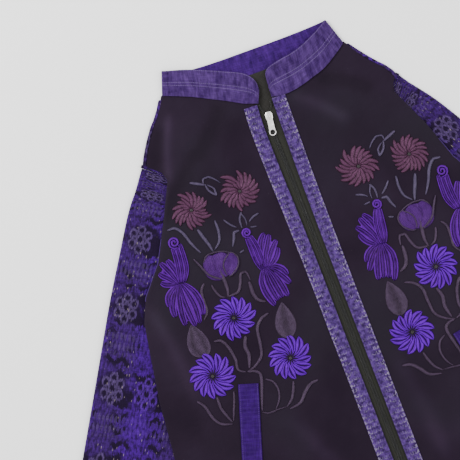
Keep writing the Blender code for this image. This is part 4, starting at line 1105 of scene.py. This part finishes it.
def on_front(side, x, y):
    """Where a point of the right front lies on either front. The left one is its mirror image, moved."""
    if side < 0:
        return x, y
    dx, dy = -x - LEFT_PIVOT[0], y - LEFT_PIVOT[1]
    c, s = math.cos(LEFT_TURN), math.sin(LEFT_TURN)
    return LEFT_PIVOT[0] + dx * c - dy * s + LEFT_SHIFT[0], LEFT_PIVOT[1] + dx * s + dy * c + LEFT_SHIFT[1]


def welt_place(side):
    """Where each point of a welt lies, across it and down from its upper end."""
    def place(u, v):
        across, down = (u - 0.5) * WELT_SIZE[0], v * WELT_SIZE[1]
        x = WELT_TOP[0] + across * math.cos(WELT_SLANT) - down * math.sin(WELT_SLANT)
        y = WELT_TOP[1] - across * math.sin(WELT_SLANT) - down * math.cos(WELT_SLANT)
        px, py = on_front(side, x, y)
        rim = min(u * WELT_SIZE[0], (1.0 - u) * WELT_SIZE[0], v * WELT_SIZE[1], (1.0 - v) * WELT_SIZE[1])
        seam = -0.35 * math.exp(-((rim - 2.2) / 0.8) ** 2) - 0.5 * (1.0 - ease(rim / 1.2))
        pucker = 0.25 * noise.noise(Vector((across / 9.0, down / 7.0, 6.0 * side)))
        return (px, py, front_height(px, py) + WELT_RISE + seam + pucker), (across * MM, down * MM)
    return place


welt_finish, shader = new_finish("welt_cloth")
spot = chart(shader)
height, slubs = weave(spot, 900.0, 0.8)
x, y, _ = spot.axes()
down_lines = abs((x / 0.0078).math("FRACT") - 0.5).spread(0.26, 0.04, top=0.05)
cross_lines = abs((y / 0.0066).math("FRACT") - 0.5).spread(0.26, 0.04, top=0.12)
ground = mix(spot.cloud(55.0, 4.0).spread(0.3, 0.7), (0.01, 0.0004, 0.042), (0.0225, 0.0012, 0.084))
colour = mix(down_lines.math("MAXIMUM", cross_lines), ground, (0.055, 0.024, 0.13))
stitches = (abs(abs(x) - 0.0133) < 0.0004) * ((y / 0.0031).math("FRACT") > 0.3)
colour = mix(stitches * 0.6, colour, (0.07, 0.035, 0.15))
paint(shader, shaded(slubs.spread(0.3, 0.7, 0.6, 1.4), colour))
soft_surface(shader, 0.85, (0.7, 0.35, 1.0), sheen=0.05)
bump(shader, height, 0.7, 0.0006)

for side, hand in HANDS:
    mesh = cloth_sheet(f"welt_{hand}", *WELT_GRID, welt_place(side))
    nodes = [f"pocket_welt_{hand}"]
    welt = as_piece(f"pocket_welt_{hand}_cloth", mesh, welt_finish, nodes, wall=WELT_CLOTH)


# The flowers are raised satin stitch. Each petal is worked on its own round the centre, and leans one way.
# A petal is a closed, cushioned form with a corded edge, and its threads run from the centre to the tip.
Flower = namedtuple("Flower", "name x y radius petals turn lean centre uneven inner")
VIOLET_FLOWERS = (
    Flower("flower_violet_top", -148.5, -17, 35.5, 13, 0.1, 0.62, 2.6, 0.1, 0),
    Flower("flower_violet_outer", -208, -88, 37, 13, 0.3, 0.66, 2.8, 0.1, 0),
    Flower("flower_violet_inner", -89.5, -102.5, 36.5, 13, 0, 0.7, 2.6, 0.12, 0),
)
RED_FLOWERS = (
    Flower("flower_red_outer", -153, 156, 32, 20, 0.2, 0.72, 1.6, 0.26, 13),
    Flower("flower_red_inner", -75.5, 158, 34, 20, 0, 0.72, 1.6, 0.26, 13),
)


def satin(spot, bundle, pitch=0.0005):
    """The height of satin stitch, threads side by side along one direction in bundles, and its painted light
    and shade.
    """
    across = spot.axes()[0] + (spot.cloud(130.0, 2.0) - 0.5) * 0.0006
    fine = (across / pitch * (2 * math.pi)).math("SINE")
    broad = (across / bundle * (2 * math.pi)).math("SINE")
    uneven = spot.scaled(1500.0, 90.0, 1.0).cloud(1.0, 2.0)
    # The second value is painted light: lighter on the higher bundles, and uneven along the threads.
    return fine * 0.16 + broad * 0.42 + uneven, (broad * 0.24).math("ADD", uneven * 0.9 + 0.05, clamp=True)


def thread_finish(name, dark, bright, tint, bundle=0.0022, rows=1.0, crest=0.5, deep=0.75, rim=0.0,
                  grain=75.0):
    """Silky embroidery thread, in its own colours, worked in rows along a form.

    A row's ridge is painted bright, a painted highlight. The narrow gap between two rows is painted dark,
    a painted shade. A ridge is at crest, and deep sets how dark the gap is painted.
    rim paints the outermost rows brighter than the middle ones, a painted highlight.
    The very edge of the form is painted darker, a painted shade where it meets the cloth.
    """
    made, shader = new_finish(name)
    height, shade = satin(chart(shader), bundle)
    out = abs(chart(shader, "form").axes()[0])
    ridge = ((out - crest) * (2 * math.pi * rows)).math("COSINE")
    share = shade * 0.6 + solid_spot(shader).cloud(grain, 3.0) * 0.7 - 0.1
    # Painted highlight on each row's ridge and painted shade in the gaps between rows, with rim's painted
    # highlight on the outer rows.
    share = share + ridge * 0.18 - ridge.spread(-0.1, -0.9) * deep + (out - 0.55) * rim
    # Painted shade at the very edge of the form, where it meets the cloth.
    share = share.math("SUBTRACT", out.spread(0.9, 0.99) * 0.8, clamp=True)
    paint(shader, mix(share, dark, bright))
    soft_surface(shader, 0.45, tint, level=0.25)
    feed(shader.inputs["Anisotropic"], 0.4)
    bump(shader, ridge * 0.5 + height, 0.9, 0.0008)
    return made


def lobe(side, path, half, rise, tilt=0.0, blunt=0.5, swell=0.5, steps=14, sides=24, ridges=0.0):
    """A closed cushion of stitches along a smooth path.

    half is its greatest half width, at the share swell of its length. A smaller blunt gives rounder ends.
    """
    points = [along_table(path, (len(path) - 1) * k / steps) for k in range(steps + 1)]
    runs = runs_along(points)

    def place(u, v):
        i = min(int(round(v * steps)), steps)
        ahead, behind = points[min(i + 1, steps)], points[max(i - 1, 0)]
        along = Vector((ahead[0] - behind[0], ahead[1] - behind[1])).normalized()
        t = runs[i] / runs[-1]
        warped = t ** (math.log(0.5) / math.log(swell))
        taper = min(max(4.0 * warped * (1.0 - warped), 0.0) ** blunt, 1.0)
        s = math.cos(2 * math.pi * u)
        width = half * taper * s
        x, y = points[i][0] - along.y * width, points[i][1] + along.x * width
        px, py = on_front(side, x, y)
        body = 1.0 - abs(s) ** 5
        cord = 0.32 * math.exp(-((abs(s) - 0.82) / 0.13) ** 2)
        cord -= 0.22 * math.exp(-((abs(s) - 0.56) / 0.12) ** 2)
        top = body * (0.8 + 0.2 * (1.0 - s * s)) + cord + ridges * math.cos(s * half * 1.9)
        top *= min(taper * 1.4, 1.0)
        up = max(tilt * s * taper * 0.6, 0.0)
        if math.sin(2 * math.pi * u) > 1e-6:
            least = up + 0.3 * math.sqrt(max(1.0 - s * s, 0.0)) * min(taper * 4.0, 1.0)
            up = max(rise * top + tilt * s * taper, least)
        return (px, py, front_height(px, py) + THREAD_GAP + up), (width * MM, runs[i] * MM), (s, t)
    return cloth_sheet("lobe", sides, steps, place, around=True)


def gathered(parts):
    """One bmesh of several, which are used up."""
    whole = bmesh.new()
    for chart in CHARTS:
        whole.loops.layers.uv.new(chart)
    for part in parts:
        data = bpy.data.meshes.new("part")
        part.to_mesh(data)
        part.free()
        whole.from_mesh(data)
        bpy.data.meshes.remove(data)
    return whole


def petals(side, flower):
    """The petals of one flower, each on its own curved path from the centre out."""
    made = []
    for count, length, rise in ((flower.petals, 1.0, 1.25), (flower.inner, 0.62, 1.75)):
        for k in range(count):
            vary = noise.noise(Vector((k * 1.7, flower.x * 0.1, side * 2.0 + length)))
            begin = 2 * math.pi * (k + flower.uneven * 2.0 * vary) / count + flower.turn
            reach = flower.radius * length * (1.0 - 0.5 * flower.uneven + flower.uneven * vary)
            lean = flower.lean * length * (1.0 + 2.0 * flower.uneven * vary)
            path = []
            for t in (0.0, 0.25, 0.5, 0.75, 1.0):
                r = flower.centre + (reach - flower.centre) * t
                angle = begin + lean * (t - 0.5)
                path.append((flower.x + r * math.cos(angle), flower.y + r * math.sin(angle)))
            half = math.pi * 0.76 * flower.radius * length / count
            blunt = 0.75 if flower.inner else 1.1
            made.append(lobe(side, path, half, rise, tilt=0.5, blunt=blunt, swell=0.64))
    return gathered(made)


violet_thread = thread_finish("thread_violet", (0.007, 0.0002, 0.038), (0.13, 0.0008, 0.49),
                              (0.75, 0.2, 1.0))
red_thread = thread_finish("thread_red", (0.008, 0.002, 0.006), (0.092, 0.033, 0.076), (1.0, 0.6, 0.85),
                           bundle=0.0017, rows=0.5, crest=0.0, deep=0.5, grain=150.0)
FLOWERS = ((VIOLET_FLOWERS, violet_thread, "thread_violet"), (RED_FLOWERS, red_thread, "thread_red"))

for side, hand in HANDS:
    for table, finish, slot in FLOWERS:
        for flower in table:
            node = f"{flower.name}_{hand}"
            as_piece(f"{node}_threads", petals(side, flower), finish, [node])


# Two raised birds face each other across the flowers on each front, and each has a coiled cord for its head.
# Long rows of cords run from the neck to a narrow waist, and fan out below it. The wing's edge is scalloped.
Bird = namedtuple("Bird", "name head radius ground neck wing skirt")
BIRDS = (
    Bird("bird_inner", (-87, 96), 9, (
        ((-79, 36), (-74, 54), (-66, 66), (-62, 76)),
        ((-77, 38), (-74, 22), (-72, 6), (-71, -8)),
    ), (
        ((-90, 90), (-89, 70), (-88, 50), (-84, 36)),
        ((-84, 91), (-79.5, 74), (-78.5, 56), (-80.5, 36)),
        ((-87, 90), (-84.5, 72), (-83.5, 54), (-82.5, 36)),
    ), (
        ((-80.5, 36), (-78, 58), (-72, 76), (-62, 87)),
        ((-78, 36), (-72, 54), (-64, 68), (-56, 83)),
        ((-76, 36), (-67, 50), (-58, 62), (-48, 71)),
        ((-75, 36), (-64, 42), (-56, 50), (-50, 60)),
    ), (
        ((-75, 38), (-64, 34), (-55, 26), (-51, 15)),
        ((-76, 38), (-65, 26), (-57, 14), (-51, 2)),
        ((-77, 38), (-69, 22), (-64, 4), (-61, -15)),
        ((-78.5, 38), (-75, 20), (-72, 2), (-69, -14)),
        ((-80, 38), (-82, 18), (-80, 0), (-77, -16)),
        ((-82, 38), (-91, 18), (-90, 0), (-83.5, -22)),
    )),
    Bird("bird_outer", (-194, 119), 10.5, (
        ((-208, 57), (-212, 70), (-216, 80), (-218, 90)),
        ((-208, 59), (-211, 42), (-211, 22), (-210, 0)),
    ), (
        ((-186.5, 116), (-187.5, 96), (-190, 76), (-200, 58)),
        ((-199, 114), (-199.5, 96), (-202, 78), (-206, 58)),
        ((-192.5, 112), (-193.5, 95), (-196.5, 76), (-203, 58)),
    ), (
        ((-205, 58), (-206, 76), (-210, 90), (-213, 99)),
        ((-208, 58), (-213, 74), (-219, 88), (-224, 98)),
        ((-210, 58), (-219, 70), (-227, 78), (-231, 84)),
        ((-211, 58), (-221, 62), (-228, 65), (-233, 70)),
    ), (
        ((-211, 59), (-222, 52), (-230, 44), (-233, 30)),
        ((-211, 59), (-222, 42), (-229, 28), (-230, 13)),
        ((-209, 59), (-215, 38), (-219, 16), (-220, -4)),
        ((-208, 59), (-209, 34), (-208, 10), (-206, -10)),
        ((-206, 59), (-200, 38), (-197, 16), (-199, -8)),
        ((-203, 59), (-191, 40), (-187, 20), (-190, 2)),
    )),
)


def raised_cord(side, path, radius, rise=0.4, steps=40, sides=8):
    """A round cord of thread couched on the front along a smooth path, thinner at its ends."""
    points, widths = [], []
    for k in range(steps + 1):
        x, y = along_table(path, (len(path) - 1) * k / steps)
        px, py = on_front(side, x, y)
        share = k / steps
        points.append((px, py, front_height(px, py) + THREAD_GAP + rise + radius * 0.5))
        widths.append(radius * (0.45 + 0.55 * min(1.0, 6.0 * share, 6.0 * (1.0 - share))))
    return thread_tube("cord", points, widths, sides=sides, flat=0.7)


def coil_of(centre, radius, turns, start):
    """A path that winds in to a centre."""
    count = int(turns * 10)
    path = []
    for k in range(count + 1):
        reach = radius * (1.0 - 0.86 * k / count)
        angle = start - 2 * math.pi * turns * k / count
        path.append((centre[0] + reach * math.cos(angle), centre[1] + reach * math.sin(angle)))
    return path


bird_thread = thread_finish("thread_bird", (0.0044, 0.0002, 0.016), (0.09, 0.0048, 0.256), (0.75, 0.3, 1.0),
                            bundle=0.0027, rows=1.25, crest=0.8, deep=0.32, rim=0.6)
BIRD_ROWS = {
    "ground": {"half": 13.5, "rise": 0.7, "blunt": 0.5, "swell": 0.6},
    "wing": {"half": 5.2, "rise": 1.3, "blunt": 0.3, "swell": 0.62, "ridges": 0.1},
    "skirt": {"half": 5.6, "rise": 1.35, "blunt": 0.3, "swell": 0.62, "ridges": 0.1},
    "neck": {"half": 4.0, "rise": 1.6, "blunt": 0.22, "ridges": 0.1},
}
knot_thread = thread_finish("thread_knot", (0.02, 0.017, 0.018), (0.072, 0.064, 0.069), (1.0, 0.95, 1.0))

for side, hand in HANDS:
    for bird in BIRDS:
        node = f"{bird.name}_{hand}"
        parts = []
        for part, shape in BIRD_ROWS.items():
            parts += [lobe(side, path, **shape) for path in getattr(bird, part)]
        parts.append(raised_cord(side, coil_of(bird.head, bird.radius - 1.5, 1.9, 4.9), 1.5, steps=90))
        as_piece(f"{node}_threads", gathered(parts), bird_thread, [node])
for side, hand in HANDS:
    curls = [coil_of((flower.x, flower.y), 2.1, 1.5, 0.0) for flower in VIOLET_FLOWERS + RED_FLOWERS]
    knots = gathered([raised_cord(side, path, 0.95, rise=0.7, steps=34) for path in curls])
    as_piece(f"flower_knots_{hand}", knots, knot_thread)


# Between them are a folded rosebud, two leaves, a small bow, and stems of flat stitch that end in curls.
# They are thread a few millimetres wide, so the CAD has no solids for them, and they lie on the fronts.
BUD_PETALS = (
    (((-140, 44), (-140, 58), (-140, 70), (-140, 83)), 19, 0.7),
    (((-141, 45), (-156, 56), (-157, 70), (-148, 83)), 9.5, 1.1),
    (((-139, 46), (-142, 60), (-139, 73), (-131, 82)), 7.5, 1),
    (((-134, 45), (-123, 54), (-119, 65), (-123, 78)), 7.5, 1.15),
)
BUD_EDGES = (
    (((-163, 76), (-155, 84), (-143, 85), (-130, 82), (-117, 75)), 1.1),
    (((-117, 76), (-112, 66), (-116, 54), (-128, 45), (-134, 44)), 1.1),
    (((-136, 46), (-137, 60), (-131, 70), (-121, 77)), 0.9),
    (((-175, 86), (-169, 73), (-163, 58), (-155, 50), (-146, 44)), 1.6),
)
LEAVES = (
    (((-79, -75), (-79.5, -58), (-77, -40), (-73, -19)), 16.5),
    (((-210, -56), (-219, -42), (-218, -26), (-212, -4)), 9.6),
    (((-206, -57), (-203, -44), (-205, -26), (-211, -5)), 8.6),
)
STEMS = (
    (((-198, 139.5), (-186, 139), (-177, 128), (-170, 108), (-161, 90)), 2.4),
    (((-154.5, 126), (-151, 114), (-146, 98), (-143.5, 86)), 2.7),
    (((-125.5, 130), (-125.5, 114), (-130, 98), (-141, 88)), 2.1),
    (((-143, 68), (-143, 46), (-142.5, 28), (-146, 15)), 2.9),
    (((-172, 47), (-180, 38), (-182, 20), (-182.5, 6), (-192, -6)), 2.2),
    (((-163, 41), (-161, 30), (-156, 20), (-149, 16)), 1.9),
    (((-146, 16), (-130, 17), (-122, 28), (-116, 42), (-108, 41), (-106, 26)), 2.2),
    (((-108.5, 27), (-109, 8), (-105, -4), (-95, -11)), 3),
    (((-84, 128), (-90, 118), (-91, 104)), 1.7),
    (((-86, 128), (-82, 116), (-83, 105)), 1.3),
    (((-60, 117.5), (-70, 115), (-78, 110)), 1.7),
    (((-113, 126), (-106, 116), (-98, 108)), 1.6),
    (((-96, 102.5), (-104, 103), (-108, 94), (-114, 83)), 2.2),
    (((-107, 71), (-99, 73.5)), 1.5),
    (((-79, 102), (-69, 100)), 1.3),
    (((-189, -40), (-178, -43), (-171, -56), (-167.5, -76), (-169, -92), (-158, -100)), 2.5),
    (((-141, -48), (-147, -62), (-146.5, -78), (-153, -97)), 3),
    (((-96, -28), (-110, -32), (-121, -44), (-124, -62), (-129, -84), (-144, -96), (-158, -100)), 2.5),
    (((-157, -100), (-146, -103), (-140, -110), (-143, -124), (-148, -138), (-152, -150), (-156.5, -164)),
     2.5),
    (((-136, -119), (-126, -127), (-122.5, -141), (-127, -156), (-137, -168)), 1.7),
    (((-97, -136), (-102, -149), (-109, -161), (-120, -170)), 2.1),
    (((-157, -164), (-147, -169), (-132, -168.5), (-118, -169)), 1.3),
    (((-61, -147.5), (-74, -149), (-86, -158), (-98, -170), (-117, -174)), 2.6),
    (((-243, -115), (-234, -128), (-229.5, -146), (-220, -160), (-203, -166)), 2.5),
    (((-212.5, -119), (-213, -136), (-208.5, -151), (-203, -164)), 2.4),
    (((-186, -120), (-190.5, -134), (-197, -150), (-202, -163)), 1.8),
    (((-142, 195), (-132, 190), (-121, 184)), 2.3),
    (((-123, 186), (-121, 193), (-113, 194), (-104, 187), (-98, 178.5)), 1.5),
    (((-121, 186), (-118.5, 174), (-110, 165), (-110, 174), (-119, 184)), 1.7),
)

STEM_STITCH = {"bundle": 0.0016, "rows": 0.5, "crest": 0.0, "deep": 0.3, "grain": 150.0}

plum_thread = thread_finish("thread_plum", (0.009, 0.0015, 0.022), (0.056, 0.012, 0.125), (0.85, 0.45, 1.0),
                            bundle=0.0024, rows=0.5, crest=0.3, deep=0.3, grain=120.0)
leaf_thread = thread_finish("thread_leaf", (0.008, 0.004, 0.01), (0.052, 0.032, 0.064), (0.95, 0.75, 1.0),
                            bundle=0.0016, rows=0.55, crest=0.85, deep=0.12, grain=240.0)
stem_thread = thread_finish("thread_stem", (0.011, 0.0075, 0.02), (0.076, 0.057, 0.108), (0.9, 0.8, 1.0),
                            **STEM_STITCH)
lower_stem_thread = thread_finish("thread_stem_lower", (0.009, 0.0046, 0.011), (0.054, 0.033, 0.064),
                                  (0.95, 0.75, 1.0), **STEM_STITCH)

for side, hand in HANDS:
    bud = gathered([lobe(side, path, half, rise, blunt=0.4, ridges=0.06) for path, half, rise in BUD_PETALS])
    as_piece(f"rosebud_{hand}_threads", bud, plum_thread)
    rim = gathered([raised_cord(side, path, half, rise=0.6) for path, half in BUD_EDGES])
    as_piece(f"rosebud_edge_{hand}_threads", rim, leaf_thread)
    leaves = gathered([lobe(side, path, half, 0.95, blunt=1.0, swell=0.38) for path, half in LEAVES])
    as_piece(f"leaves_{hand}_threads", leaves, leaf_thread)
    for part, finish in (("upper", stem_thread), ("lower", lower_stem_thread)):
        table = [stem for stem in STEMS if (stem[0][0][1] > 70.0) == (part == "upper")]
        stems = gathered([lobe(side, path, half * 1.15, 1.0, blunt=0.38, swell=0.4, steps=26, sides=12)
                          for path, half in table])
        as_piece(f"stems_{part}_{hand}_threads", stems, finish)


# A narrow pale cord is sewn along the armhole and side edge of each front, where the sleeve meets it.
# It follows the front's folded edge from the chest to below the arm.
PIPING_RADIUS = 0.7
PIPING_SPAN = (0.462, 0.562)
PIPING_STEPS = 60
PIPING_AT = 0.97


def piping_path(side):
    """The cord's points, on the rolled edge of a front."""
    start, end = PIPING_SPAN
    path = []
    for k in range(PIPING_STEPS + 1):
        v = start + (end - start) * k / PIPING_STEPS
        x, y, z = front_place(side)(PIPING_AT, v)[0]
        path.append((x + side * 0.3, y, z + 0.2))
    return path


piping_finish, shader = new_finish("piping_thread")
# The piping is coloured by the satin's painted light: lighter on its higher bundles.
height, shade = satin(chart(shader), 0.0012, 0.0004)
paint(shader, mix(shade, (0.018, 0.006, 0.05), (0.055, 0.026, 0.135)))
soft_surface(shader, 0.7, (0.8, 0.6, 1.0))
bump(shader, height, 0.6, 0.0004)

for side, hand in HANDS:
    mesh = thread_tube(f"piping_{hand}", piping_path(side), PIPING_RADIUS, sides=8)
    as_piece(f"armhole_piping_{hand}", mesh, piping_finish)


# The head of each sleeve is sewn to the shoulder with a full, rolled seam of the sleeve's own cloth.
# It lies between the sleeve's upper end and the front's edge.
SEAM_ENDS = {-1: ((-201.5, 243.5), (-171.5, 220.5)), 1: ((207.5, 243.0), (190.0, 225.5))}
SEAM_RADIUS = 2.6
SEAM_STEPS = 24

for side, hand in HANDS:
    (ax, ay), (bx, by) = SEAM_ENDS[side]
    path = []
    for k in range(SEAM_STEPS + 1):
        t = k / SEAM_STEPS
        swell = 0.3 * noise.noise(Vector((t * 9.0, side * 4.0, 0.0)))
        path.append((ax + (bx - ax) * t, ay + (by - ay) * t, 2.4 + swell + 1.6 * t))
    mesh = thread_tube(f"sleeve_head_{hand}", path, SEAM_RADIUS, sides=12, flat=0.7)
    as_piece(f"sleeve_head_seam_{hand}", mesh, sleeve_finish)
